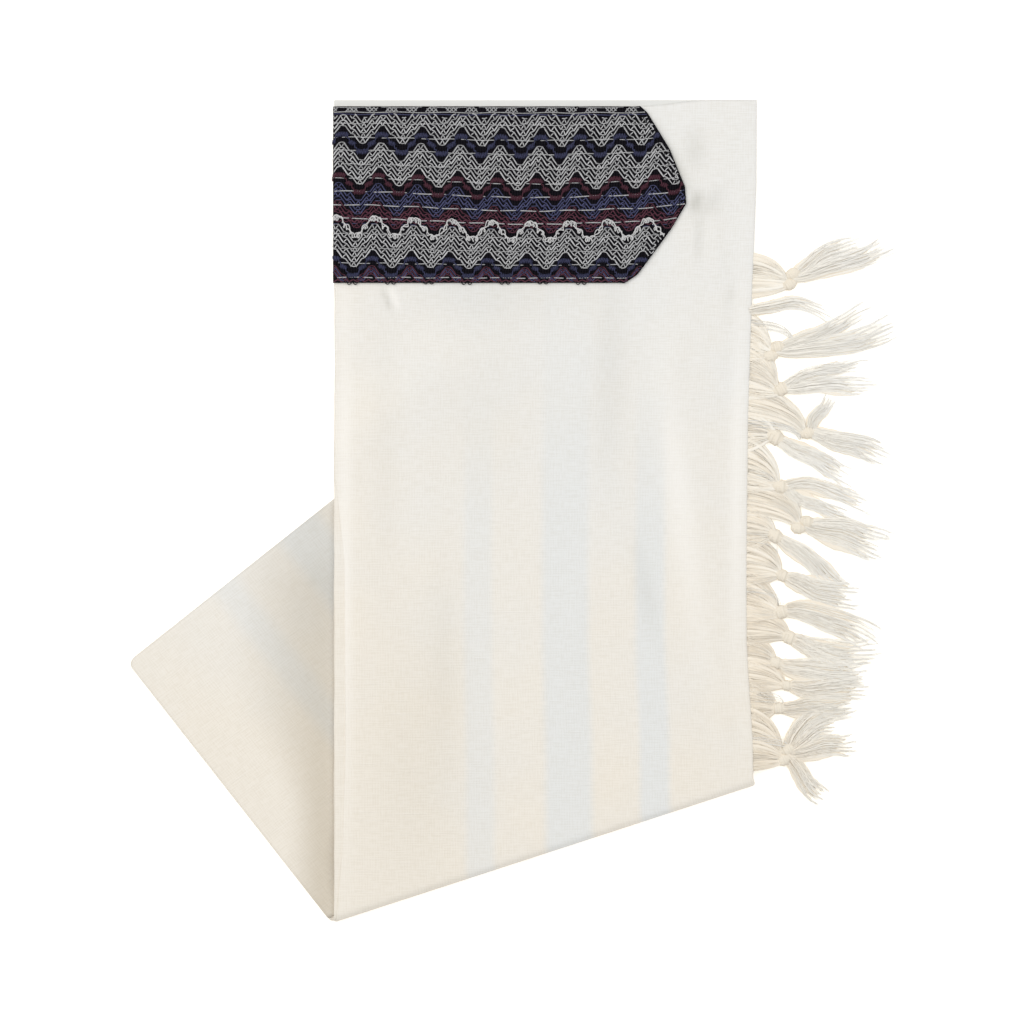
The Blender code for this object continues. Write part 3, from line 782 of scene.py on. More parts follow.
def over_the_fold(across, down, front_depth, depth, end_back, turns, steps):
    """Points and UV of sections carried down the front, round the fold and back.

    The last axis runs along the strip: down the front, then so many turns of
    half a circle round the fold, then so many equal steps to the rear end.
    """
    last = across[..., -1:]
    turn = np.linspace(0.0, math.pi, turns + 1)[1:]
    past = np.linspace(0.0, 1.0, steps + 1)[1:] * (rear_end(last) - end_back)
    points = np.concatenate([
        front_place(across, down, front_depth),
        bend_place(last, turn, depth),
        rear_place(last, past, depth),
    ], axis=-2)
    along = np.concatenate([
        down,
        fold_down(last) + turn * BEND_HEIGHT,
        fold_down(last) + math.pi * BEND_HEIGHT + past,
    ], axis=-1)
    sideways = np.concatenate([across, np.repeat(last, turns + steps, axis=-1)], axis=-1)
    return points, np.stack([sideways, along], axis=-1)


def front_cloth():
    """Outermost cloth: rounded lips, flat between, over the front and beneath.

    Its section is a circle's arc, a straight line and an arc; the section is
    carried down the front, half way round the fold and back along the floor.
    """
    share = np.linspace(0.0, 1.0, DOWN_STEPS)
    left_end = table(FRONT_SET_BACK, share * FOLD_FROM_NECK) + LEFT_ROUND
    right_start = STRIP_WIDTH - RIGHT_ROUND
    left, right = arc(*LEFT_LIP)[:, None], -arc(*RIGHT_LIP)[1:, None]
    flat = np.linspace(0.0, 1.0, FRONT_COLUMNS)[:, None]
    across = np.concatenate([
        left_end + LEFT_ROUND * np.cos(left),
        left_end + (right_start - left_end) * flat,
        np.repeat(right_start + RIGHT_ROUND * np.cos(right), DOWN_STEPS, axis=1),
    ])
    depth = np.concatenate([
        FRONT_OUTER - LEFT_ROUND + LEFT_ROUND * np.sin(left),
        np.full(flat.shape, FRONT_OUTER),
        FRONT_OUTER - RIGHT_ROUND + RIGHT_ROUND * np.sin(right),
    ])
    down = way_down(share, across, front_start(across))
    points, uv = over_the_fold(across, down, depth, depth, end_back=0.0, turns=12, steps=40)
    points, uv = points.swapaxes(0, 1), uv.swapaxes(0, 1)
    # Painted shade and painted highlight, carried by the mesh's shade attribute.
    painted_shading = bells(FRONT_PAINTED_SHADING, uv[..., 0], uv[..., 1])
    return sheet_object("cloth_front", points, uv, CLOTH, -1.0, painted_shading)


def rear_painted_shade(points):
    """Painted shade of the rear cloth: deep beside the front cloth, fading away from it.

    It is a product of eased steps: up beside the front cloth's edge, away over a
    width that narrows down the strip, and up again below the strip's middle.
    """
    x, y = points[..., 0], points[..., 1]
    beside = front_plan(0.0, NECK_EDGE - y)[0] - x
    wide = REAR_SHADE_WIDE * (1.0 - REAR_SHADE_NARROWS * ease((-REAR_SHADE_NARROWED - y) / REAR_SHADE_NARROWED))
    painted_shade = REAR_SHADE_EDGE + (1.0 - REAR_SHADE_EDGE) * ease(beside / REAR_SHADE_FULL)
    painted_shade = painted_shade * (1.0 - ease((beside - REAR_SHADE_FADES) / wide))
    return painted_shade * (REAR_SHADE_TOP + (1.0 - REAR_SHADE_TOP) * ease((REAR_SHADE_DEEPENS - y) / REAR_SHADE_DEEP))


def rear_cloth():
    """Upper cloth of the rear stretch, its left side rounded over the folds."""
    lip = arc(*REAR_LIP)
    flat = np.linspace(REAR_ROUND, STRIP_WIDTH - REAR_PANEL_INSET, REAR_COLUMNS)
    across = np.concatenate([REAR_ROUND + REAR_ROUND * np.cos(lip), flat])[None]
    lip_depth = REAR_ROUND - CLOTH / 2 - REAR_ROUND * np.sin(lip)
    depth = np.concatenate([lip_depth, np.full(REAR_COLUMNS, -CLOTH / 2)])
    share = np.linspace(1.0, 0.0, REAR_STEPS)[:, None]
    past = REAR_PANEL_START + share * (rear_end(across) - REAR_PANEL_START - SEAM_GAP)
    points = rear_place(across, past, depth)
    uv = stacked(across, fold_down(across) + past)
    # The rear cloth's shade attribute carries its painted shade.
    return sheet_object("cloth_rear", points, uv, CLOTH, -1.0, rear_painted_shade(points))


def fold_rows():
    """Section of the hidden layers' sides: a half ellipse for each fold.

    Gives each row's distances in at the left and the right, its share of the
    depth, and its end's distance back.  Two folds share the row between them.
    """
    rows, start = [], 1.0
    for left_in, right_in, ends, end_in in LAYER_FOLDS:
        for t in FOLD_PLACES:
            dip = FOLD_DIP * (1.0 - math.sqrt(1.0 - t * t)) / MM
            share = start + (ends - start) * (t + 1.0) / 2.0
            row = (left_in + dip, right_in + dip, share, end_in + dip)
            if t == -1.0 and rows:
                joined = [max(pair) for pair in zip(rows[-1], row)]
                rows[-1] = (*joined[:2], share, joined[3])
            else:
                rows.append(row)
        start = ends
    return np.array(rows).T


def folded_layers():
    """The layers between the outer cloths: one body with a roll for each fold.

    Where the front cloth is set back, the uppermost roll puffs up beside it.
    """
    left_in, right_in, depth_share, end_in = fold_rows()[..., None]
    column = np.linspace(0.0, 1.0, LAYER_COLUMNS)
    column = (column + ease(column)) / 2
    share = np.linspace(0.0, 1.0, DOWN_STEPS)
    along = share * FOLD_FROM_NECK
    set_back = table(FRONT_SET_BACK, along)
    seeds = np.arange(len(left_in))[:, None] // (len(FOLD_PLACES) - 1)
    uneven = LAYER_UNEVEN + wander(along[None], seeds * 2.3 + 0.4, LAYER_UNEVEN)
    left = left_in * MM + uneven
    right = STRIP_WIDTH - right_in * MM - uneven[:, ::-1]
    across = left + column[:, None, None] * (right - left)
    depth = BEND_INNER + (BEND_OUTER - BEND_INNER) * depth_share
    beside = ease((set_back + PUFF_REACH - across) / PUFF_FADE) * ease(set_back / PUFF_SET_BACK)
    puffed = depth + ROLL_PUFF * beside * ease(depth_share / PUFF_DEPTH)
    back = end_in * MM
    down = way_down(share, across, back)
    points, uv = over_the_fold(across, down, puffed, depth, back, turns=10, steps=30)
    return block_object("cloth_layers", points, uv)


# ------------------------------------------------------------------ neck band
class BandRow(NamedTuple):
    """One line of the table of the band's rows."""

    colour: str
    first: float
    last: float
    rows: int
    kind: str
    half_width: float
    lift: float
    dips: float
    hidden: float


def along_row(turn, down):
    """Distance from the fold where a row has passed so many turns of the zigzag."""
    return turn * ZIG_PITCH / (1.0 + ZIG_CLOSE * down) + ZIG_START - ZIG_LEAN * down


def zigzag(turn):
    """A zigzag from 0 at whole turns to 1 half way between, both cut flat."""
    ramp = 1.0 - np.abs(2.0 * np.mod(turn, 1.0) - 1.0)
    return np.clip((ramp - ZIG_FLAT) / (1.0 - 2.0 * ZIG_FLAT), 0.0, 1.0)


def sawtooth(turn, teeth):
    """A triangular wave from -1 to 1, so many to a turn, rising through 0 at 0."""
    return 1.0 - 4.0 * np.abs(np.mod(turn * teeth + 0.25, 1.0) - 0.5)


def band_reach(down):
    """Reach of the band's outline, in the band's own distance from the fold."""
    return table(NECK_BAND, down) - FRONT_SET_BACK[0][1] * MM - LEFT_ROUND


def band_place(u, down, lift):
    """Places on the band: u from the fold's crown, negative round the fold.

    Past the crown the band lies flat; before it, it turns round the fold in a
    circle.  A bell-shaped hem stands along the pointed end.
    """
    set_back = FRONT_SET_BACK[0][1] * MM
    crown = set_back + LEFT_ROUND
    radius = LEFT_ROUND + SEAM_GAP + BAND_CLOTH
    angle = math.pi / 2 + np.maximum(-u, 0.0) / radius
    inside = (band_reach(down) - u) * HEM_SLANT
    hem = HEM_HIGH * np.exp(-(((inside - HEM_IN) / HEM_WIDE) ** 2))
    depth = FRONT_OUTER - LEFT_ROUND + (radius + lift + hem) * np.sin(angle)
    across = crown + (radius + lift) * np.cos(angle) + np.maximum(u, 0.0)
    below = front_start(across) + BAND_FROM_EDGE + down
    place = front_place(across, below, FRONT_OUTER)
    place[..., 2] += depth - FRONT_OUTER
    return place


def band_cloth():
    """Ground of the neck band, a sheet with its pointed outline from the table."""
    down = np.linspace(0.0, BAND_DEEP, BAND_STEPS)[:, None]
    turned = np.linspace(-BAND_TURNED, 0.0, BAND_TURNED_COLUMNS, endpoint=False)
    flat = np.linspace(0.0, 1.0, BAND_COLUMNS)
    u = np.concatenate([np.repeat(turned[None], BAND_STEPS, axis=0), band_reach(down) * flat], axis=1)
    points = band_place(u, np.broadcast_to(down, u.shape), -BAND_CLOTH)
    return sheet_object("band_ground", points, stacked(u, down), BAND_CLOTH, 1.0)


def sag(u, down):
    """How the rows sink along the band: most half way down, none at its edges."""
    drift = SAG_SINK * ease(u / SAG_MIDDLE) - SAG_RISE * ease((u - SAG_MIDDLE) / SAG_BEYOND)
    return drift * np.sin(math.pi * np.clip(down / BAND_DEEP, 0.0, 1.0))


def stepped(turn, steps):
    """A row's climb in steps from peak to valley, and the table's last column.

    Both are broken lines through the table's rows, mirrored at every half turn.
    """
    half = np.abs(np.mod(turn + 0.5, 1.0) - 0.5)
    at, climb, level = np.array(steps).T
    return np.interp(half, at, climb), np.interp(half, at, level)


def plaited(row, turn, side):
    """Height of a yarn that goes over and under its partner along the row."""
    return row.lift * MM + PLAIT_LIFT * side * np.cos(PLAITS * math.tau * turn)


def everywhere(turn):
    """Shows a yarn all along."""
    return np.full(turn.shape, True)


def net_yarn(row, start, turn, side):
    """A net's yarn goes down every slope, nearly level at its turns and half way.

    There the crossing yarns go back to the row above instead, so that they
    leave small open diamonds.  Each sways a little as a sine of its own.
    """
    climb, _ = stepped(turn, NET_STEPS)
    sway = (NET_APART * side + NET_SWAY * np.sin(turn * 15.7 + start * 2.9 + side)) * MM
    shown = (start > row.first - NET_MORE) & (start < row.last + NET_MORE)
    return start * MM + climb * ZIG_RISE + sway, plaited(row, turn, side) + NET_OVER * side, shown


def satin_yarn(row, start, turn, side):
    """A satin yarn goes up and down right across its row, over a flat thick one.

    The thick one, side -1, fills the row where it is level.
    """
    climb, level = stepped(turn, SATIN_STEPS)
    down = start * MM + climb * ZIG_RISE
    if side < 0:
        return down, np.full(turn.shape, SATIN_FILL_LIFT), level > 0.5
    wave = sawtooth(turn, SATIN_TEETH)
    uneven = 1.0 + 0.2 * np.sin(turn * 61.0) * np.cos(turn * 23.0)
    tall = (SATIN_NARROW + (1.0 - SATIN_NARROW) * level) * row.half_width * MM * uneven
    return down + tall * wave, row.lift * MM + SATIN_CROWN * (1.0 - wave**2), everywhere(turn)


def bits_yarn(row, start, turn, side):
    """Short crossing bits on a level course, with a gap at every half turn."""
    from_gap = np.abs(np.mod(turn - 0.2 + 0.02 * side, 0.5) - 0.25)
    down = start * MM + side * HALF_BIT * sawtooth(turn, PLAITS)
    return down, plaited(row, turn, side), from_gap > HALF_GAP


def rib_yarn(row, start, turn, side):
    """A rib is a level course of small teeth."""
    return start * MM + RIB_TOOTH * sawtooth(turn, PLAITS), plaited(row, turn, side), everywhere(turn)


def straight_yarn(row, start, turn, side):
    """A straight yarn floats over the ground in bows and dips into it in turn.

    Each bow rises as the square root of half a sine.
    """
    phase = np.mod(turn * row.dips + start * DIP_SHIFT, 1.0)
    bow = np.clip((phase - row.hidden) / (1.0 - row.hidden), 0.0, 1.0)
    rise = row.lift * MM * ((1.0 + DIP_DEEP) * np.sqrt(np.sin(math.pi * bow)) - DIP_DEEP)
    return start * MM + STRAIGHT_SWAY * np.sin(5 * turn + start), rise, phase >= row.hidden


# The path of each kind of yarn, and the yarns side by side in one row.
YARN_KINDS = {
    "net": (net_yarn, (1, -1)),
    "satin": (satin_yarn, (1, -1)),
    "bits": (bits_yarn, (1, -1)),
    "rib": (rib_yarn, (1,)),
    "straight": (straight_yarn, (1,)),
}


def row_turns(kind):
    """Where a row has its points, in turns of the zigzag from its first peak.

    A net has them at the corners of its steps and two between each pair.
    """
    if kind == "net":
        corners = np.array(NET_STEPS)[:, 0]
        last = len(corners) - 1
        corners = np.interp(np.arange(0, last + 0.01, 1 / 3), np.arange(last + 1), corners)
        ways = [whole + way * corners for whole in range(10) for way in (-1, 1)]
        return np.unique(np.round(ways, 4))
    step = SATIN_TURN_STEP if kind == "satin" else TURN_STEP
    return np.arange(round(FIRST_TURN / step), round(LAST_TURN / step)) * step


def runs(shown):
    """Slices for the unbroken runs of true values that have over three points."""
    edges = np.flatnonzero(np.diff(np.concatenate([[0], shown.astype(int), [0]])))
    return [slice(begin, end) for begin, end in zip(edges[::2], edges[1::2]) if end - begin > 3]


def yarn_tube(row, path, side, number):
    """The tube of one stretch of yarn, and its shade, which goes by threes."""
    radius, flat, shade = row.half_width * MM, 0.7, 0.2 + 0.2 * (number % 3)
    if row.kind == "satin":
        radius, flat = (SATIN_YARN, 0.8) if side > 0 else (0.85 * radius, 0.4)
        shade = -0.15
    return tubes(path[None], radius, 4, flat), shade + 0.1 * side


def row_paths(row):
    """Yarn tubes of one row of the table, cut where the band's outline ends."""
    place, sides = YARN_KINDS[row.kind]
    turn = row_turns(row.kind)
    starts = list(np.linspace(row.first, row.last, row.rows))
    shift, top = 0.0, BAND_INSET
    if row.kind == "net":
        starts.append(2 * row.last - starts[-2])
        shift = stepped(turn, NET_STEPS)[1] * (row.last - row.first) / (row.rows - 1)
        top = EDGE_ROWS + EDGE_DIP * (zigzag(turn) > 0.8)
    made = []
    for number, start in enumerate(starts):
        for side in sides:
            course = start + shift * (side > 0) + np.zeros(turn.shape)
            u = along_row(turn, course * MM)
            down, rise, shown = place(row, course, turn, side)
            down = down + sag(u, down)
            fits = (u > -YARN_TURNED) & (u < band_reach(down) - BAND_INSET)
            fits &= (down > top) & (down < BAND_DEEP - BAND_INSET) & shown
            for run in runs(fits):
                path = band_place(u[run], down[run], rise[run])
                made.append(yarn_tube(row, path, side, number))
    return made


def band_yarns():
    """The yarns of each colour, as one joined mesh a colour."""
    made = []
    rows = [BandRow(*row) for row in BAND_ROWS]
    for colour in ("pale", "navy", "maroon"):
        groups = [group for row in rows if row.colour == colour for group in row_paths(row)]
        made.append(tube_object(f"band_{colour}_yarn", groups))
    return made


def curled_yarn():
    """The looped white row: two thin strands coiled in open curls.

    The coils stand wide where the row runs level and narrow on its steps.
    """
    turn = np.arange(*CURLED_TURNS)
    climb, level = stepped(turn, SATIN_STEPS)
    u = along_row(turn, CURLED_ROW)
    centre = CURLED_ROW + climb * ZIG_RISE
    centre = centre + sag(u, centre)
    groups = []
    for strand in range(2):
        uneven = 1.1 * np.sin(turn * 33.0 + strand) + 0.8 * np.sin(turn * 19.0 + 2 * strand)
        coil = math.tau * CURLS * turn + math.pi * strand + uneven
        wide = (0.75 + 0.85 * level) * MM * (1.0 + 0.25 * np.sin(turn * 47.0 + strand))
        down = centre + wide * np.sin(coil)
        forth = u + (0.3 + 0.9 * level) * MM * np.cos(coil)
        lift = CURL_LIFT + CURL_LIFT / 2 * np.cos(coil + 0.8)
        fits = (forth < band_reach(down) - CURL_INSET) & (forth > -CURL_TURNED)
        path = band_place(forth[fits], down[fits], lift[fits])[None]
        radius = (0.36 + 0.08 * level[fits] + 0.07 * np.sin(coil[fits] * 0.5)) * MM
        groups.append((tubes(path, radius, 6), 0.25 * strand))
    return tube_object("band_curled_yarn", groups)


def hem_seam():
    """The line of stitches that holds the turned hem inside the pointed end.

    It waves from side to side and up and down as a sine, once for each stitch.
    """
    down = np.arange(5 * MM, 121 * MM, 0.5 * MM)
    stitch = np.sin(math.tau * down / HEM_STITCH)
    u = band_reach(down) - HEM_LINE_IN
    path = band_place(u + 0.25 * MM * stitch, down, 0.5 * MM + 0.45 * MM * stitch)[None]
    return tubes(path, HEM_THREAD, 5), 0.2


def edge_loops():
    """The hem's seam, and pairs of small dark loops below the band's edge.

    A loop is a little more than half an ellipse, of three depths by turns.
    """
    groups = [hem_seam()]
    turn = np.linspace(-0.35, math.pi + 0.35, LOOP_POINTS)
    for number in range(LOOP_PAIRS):
        for side in (-LOOP_APART, LOOP_APART):
            middle = along_row(number + 0.53, BAND_DEEP) + side * MM
            if middle > LOOPS_END:
                continue
            u = middle + LOOP_HALF_WIDE * np.cos(turn)
            down = BAND_DEEP - 0.5 * MM + (1.7 - 0.2 * (number % 3)) * MM * np.sin(turn)
            path = band_place(u, down, np.full(LOOP_POINTS, -0.5 * MM))[None]
            groups.append((tubes(path, LOOP_YARN, 5), 0.5))
    return tube_object("band_edge_loops", groups)


# --------------------------------------------------------------------- fringe
def beside(out, down):
    """Plan place so far out from the top of the strip's right edge."""
    return stacked(STRIP_LEFT + STRIP_WIDTH + out * MM, NECK_EDGE - down * MM)


def bezier(points, share):
    """The curve of three or four guide points, by repeated mixing in pairs."""
    share = share[..., None]
    points = list(points)
    while len(points) > 1:
        points = [a + (b - a) * share for a, b in zip(points, points[1:])]
    return points[0]


def edge_roots(down, rng):
    """Where threads leave the cloth: at its right edge, at any layer's height."""
    x, y = front_plan(STRIP_WIDTH, down)
    depth = rng.uniform(0.45 * FRONT_OUTER, FRONT_OUTER - 0.6 * MM, down.shape)
    return stacked(x - ROOT_IN, y, front_height(x, y, depth))


def thin_threads(paths, radius, rng):
    """Three-sided threads, each turned so that a flat side is up, give or take."""
    turned = math.radians(30) + rng.uniform(-0.4, 0.4, len(paths))
    return tubes(paths, radius, 3, roll=turned)


def fan_threads(number, knot, way, side, rng, plies=False):
    """Threads from the edge that close up to the knot, as curves of four guides.

    They leave the cloth outwards, lean over towards the knot, and come in along
    it.  Where the fringe hangs thick, each fan starts at the fan above it.  The
    plies are a few thick soft strands that fill the fan below its threads.
    """
    fan_top, fan_foot, knot_out, _, wide = TASSELS[number]
    if number >= THICK_FROM:
        fan_top = min(fan_top, (TASSELS[number - 1][0] + TASSELS[number - 1][1]) / 2)
    length = fan_foot - fan_top + 2 * FAN_MORE
    count = int((FAN_PLIES if plies else FAN_THREADS) * length)
    place = np.linspace(0.0, 1.0, count) ** FAN_CROWDING
    down = fan_foot + FAN_MORE - place * length + rng.normal(0, 0.7, count)
    roots = edge_roots(down * MM, rng)
    spread = (place - 0.5) * wide * KNOT_FILL * MM
    ends = knot - way * 2.2 * MM + side * spread[:, None]
    ends[:, 2] += rng.uniform(-1.4, 1.4, count) * MM
    apart = ends - roots
    first = roots + apart * FIRST_GUIDE
    far = np.clip(np.abs(apart[:, 1]) / FAN_LEANS, 0.0, 1.0)
    first[:, 0] += knot_out * MM * (rng.uniform(0.30, 0.62, count) + 0.3 * far)
    second = ends - apart * SECOND_GUIDE - way * knot_out * 0.2 * MM
    second[:, 0] += knot_out * MM * (0.30 * far - rng.uniform(0.0, 0.14, count))
    second[:, 2] += rng.uniform(0.0, 1.0, count) * MM
    share = np.broadcast_to(np.linspace(0.0, 1.0, FAN_STEPS), (count, FAN_STEPS))
    paths = bezier([guide[:, None] for guide in (roots, first, second, ends)], share)
    shade = 0.10 + 0.22 * share + 0.22 * rng.uniform(0, 1, (count, 1))
    if plies:
        radius = (1.5 - 0.6 * share) * MM
        paths[..., 2] = np.maximum(paths[..., 2] - 0.5 * MM, 0.35 * radius)
        return tubes(paths, radius, 8, flat=0.35), shade
    paths[..., 2] = np.maximum(paths[..., 2], THREAD_RADIUS)
    return thin_threads(paths, THREAD_RADIUS, rng), shade


def lock_threads(lock, guides, rng, plies=False):
    """A lock: threads side by side that gather in ragged tufts at their ends.

    Each thread follows the lock's curve, set off sideways by its place times
    the lock's width, which grows along it, and upwards within a low round.
    Towards the ends its place moves to the middle of its tuft.  A slow bow of
    the lock, a wave of each tuft and a fine one of each thread are added, all
    sines.  The plies are thick soft strands that fill the lock below its threads.
    """
    _, bend_out, bend_down, tip_out, tip_down, spread, full = lock
    tufts = full + 2
    count = 3 * tufts if plies else int(LOCK_THREADS * full + 14)
    bend, tip = beside(bend_out, bend_down), beside(tip_out, tip_down)
    guides = [*guides, np.append(bend, BEND_HIGH), np.append(tip, TIP_HIGH)]
    steps = np.linspace(0.0, 1.0, LOCK_STEPS)

    place = np.linspace(-0.46, 0.46, count) if plies else rng.uniform(-0.5, 0.5, count)
    home = np.clip(((place + 0.5) * tufts).astype(int), 0, tufts - 1)
    middle = (home + 0.5) / tufts - 0.5 + rng.normal(0, 0.025, tufts)[home]
    reach = (rng.uniform(0.90, 1.07, tufts)[home] + rng.normal(0, 0.035, count)).clip(0.7, 1.12)
    share = steps * (reach * PLY_REACH if plies else reach)[:, None]
    paths = bezier([guide[None, None] for guide in guides], share)
    level, _ = frames(bezier([guide[None] for guide in guides], steps))

    gather = TUFT_PULL * ease((share - 0.5) / 0.5)
    aside = place[:, None] * (1.0 - gather) + middle[:, None] * gather
    width = (LOCK_START + (spread * LOCK_SPREAD - LOCK_START) * share**0.55) * MM
    along = share * np.linalg.norm(guides[-1] - guides[0])
    bow = BOW * np.sin(share * 5.2 + rng.uniform(0, 6)) * np.sin(math.pi * np.clip(share, 0, 1))
    tuft_turn = rng.uniform(0, 6, tufts)[home][:, None]
    wave = TUFT_WAVE * np.sin(along / TUFT_WAVE_LONG * math.tau + tuft_turn) * share
    fine = FINE_WAVE * np.sin(along / FINE_WAVE_LONG * math.tau + rng.uniform(0, 6, (count, 1)))
    paths = paths + level * (bow + wave + fine - aside * width)[..., None]
    round_up = np.sqrt(np.clip(1.0 - (2.0 * place) ** 2, 0.05, 1.0))[:, None]
    shade = 0.30 + 0.55 * share + 0.2 * rng.uniform(0, 1, (count, 1))
    if plies:
        radius = (width / tufts * 0.5 + 0.3 * MM) * (1.0 - 0.85 * steps**2)
        paths[..., 2] = np.maximum(paths[..., 2] - 0.3 * MM, 0.45 * radius)
        # The plies' creamier colour is painted warm shade between the lock's threads.
        return tubes(paths, radius, 8, flat=0.45), shade - PLY_PAINTED_SHADE
    paths[..., 2] += rng.uniform(-0.4, 1.0, (count, 1)) * round_up * (2.0 - 1.0 * share) * MM
    least = THREAD_RADIUS + 0.6 * MM * rng.uniform(0, 1, (count, 1)) * round_up
    paths[..., 2] = np.maximum(paths[..., 2], least)
    return thin_threads(paths, THREAD_RADIUS * (1.0 - 0.4 * steps**4), rng), shade


def knot_ropes(row, knot, way, side, rng):
    """A knot: an egg of twisted threads, and a rope of them once round it.

    The egg is a tube along the lock whose radius is a half sine; the rope is a
    helix on it.  A wide knot has two eggs, one beyond the other.
    """
    wide = row[4] * MM
    groups = []
    for ahead, aside, size in WIDE_KNOT if row[4] >= WIDE_FROM else NARROW_KNOT:
        half = wide / 2 * size * 1.04
        flat = min(0.9, KNOT_HALF_HIGH / half)
        middle = knot + way * ahead * wide + side * aside * wide
        share = np.linspace(0.0, 1.0, 15)
        path = middle + way * ((share - 0.5) * half * EGG_LONG)[:, None]
        swell = half * (0.40 + 0.60 * np.sin(math.pi * share) ** 0.7)
        # A shade below 0 gives the knots' colour: cream with painted shade of the wound turns.
        groups.append((tubes(path[None], swell, 40, flat, ridges=13, twist=3.4), -0.35))
        turn = np.linspace(0.0, ROPE_TURNS * math.tau, ROPE_POINTS) + rng.uniform(0.6, 2.4)
        forward = np.linspace(-0.50, 0.46, ROPE_POINTS) * half
        path = middle + way * forward[:, None] + side * (ROPE_OUT * half * np.cos(turn))[:, None]
        path[:, 2] += ROPE_OUT * half * flat * np.sin(turn)
        rope = ROPE_THICK * half
        path[:, 2] = np.maximum(path[:, 2], rope * 0.8 + 0.1 * MM)
        groups.append((tubes(path[None], rope, 20, flat=0.75, ridges=6, twist=7.0), -0.3))
    return groups


def loose_threads(rng):
    """Slipped threads: curves out from the edge and back down to the fringe."""
    paths = []
    for root_down, reach_out, end_out, end_down, count in LOOSE_ARCS:
        down = root_down + np.linspace(0, 6, count) + rng.normal(0, 0.6, count)
        roots = edge_roots(down * MM, rng)
        far = reach_out * rng.uniform(0.75, 1.05, count)
        bulge = np.insert(beside(far, down + 1.0), 2, 5.0 * MM, axis=1)
        ends = beside(end_out + rng.normal(0, 0.8, count), end_down + rng.normal(0, 0.8, count))
        ends = np.insert(ends, 2, 2.4 * MM, axis=1)
        share = np.broadcast_to(np.linspace(0, 1, LOOSE_STEPS), (count, LOOSE_STEPS))
        paths.append(bezier([guide[:, None] for guide in (roots, bulge, ends)], share))
    paths = np.concatenate(paths)
    return thin_threads(paths, THREAD_RADIUS, rng), rng.uniform(0.6, 1, len(paths))


def tassel(number):
    """One tassel: its fan, its knot and its locks, joined in one mesh.

    A narrow one has neither fan nor knot, and its locks start at the cloth.
    The lower tassels are creamier, so their shade is lowered.
    """
    rng = np.random.default_rng(FRINGE_SEED + number)
    row = TASSELS[number]
    knot = np.append(beside(row[2], row[3]), KNOT_MIDDLE)
    locks = [lock for lock in LOCKS if lock[0] == number]
    towards = np.mean([beside(lock[1], lock[2]) for lock in locks], axis=0) - knot[:2]
    way = np.append(unit(towards), 0.0)
    side = np.array([-way[1], way[0], 0.0])
    if row[4] > FAN_FROM:
        start = [knot + way * 1.5 * MM]
        groups = [fan_threads(number, knot, way, side, rng)]
        groups += [lock_threads(lock, start, rng) for lock in locks]
        fine = len(groups)
        groups += [fan_threads(number, knot, way, side, rng, plies=True)]
        groups += [lock_threads(lock, start, rng, plies=True) for lock in locks]
        groups += knot_ropes(row, knot, way, side, rng)
    else:
        start = [edge_roots(np.array([(row[0] + row[1]) / 2 * MM]), rng)[0], knot]
        groups = [lock_threads(lock, start, rng) for lock in locks]
        fine = len(groups)
        groups += [lock_threads(lock, start, rng, plies=True) for lock in locks]
    cream = FRINGE_CREAM * max(0, number - CREAM_FROM)
    groups = [(tube, np.asarray(shade) - cream) for tube, shade in groups]
    return tube_object(f"fringe_{number + 1:02d}", groups, smooth_from=fine)


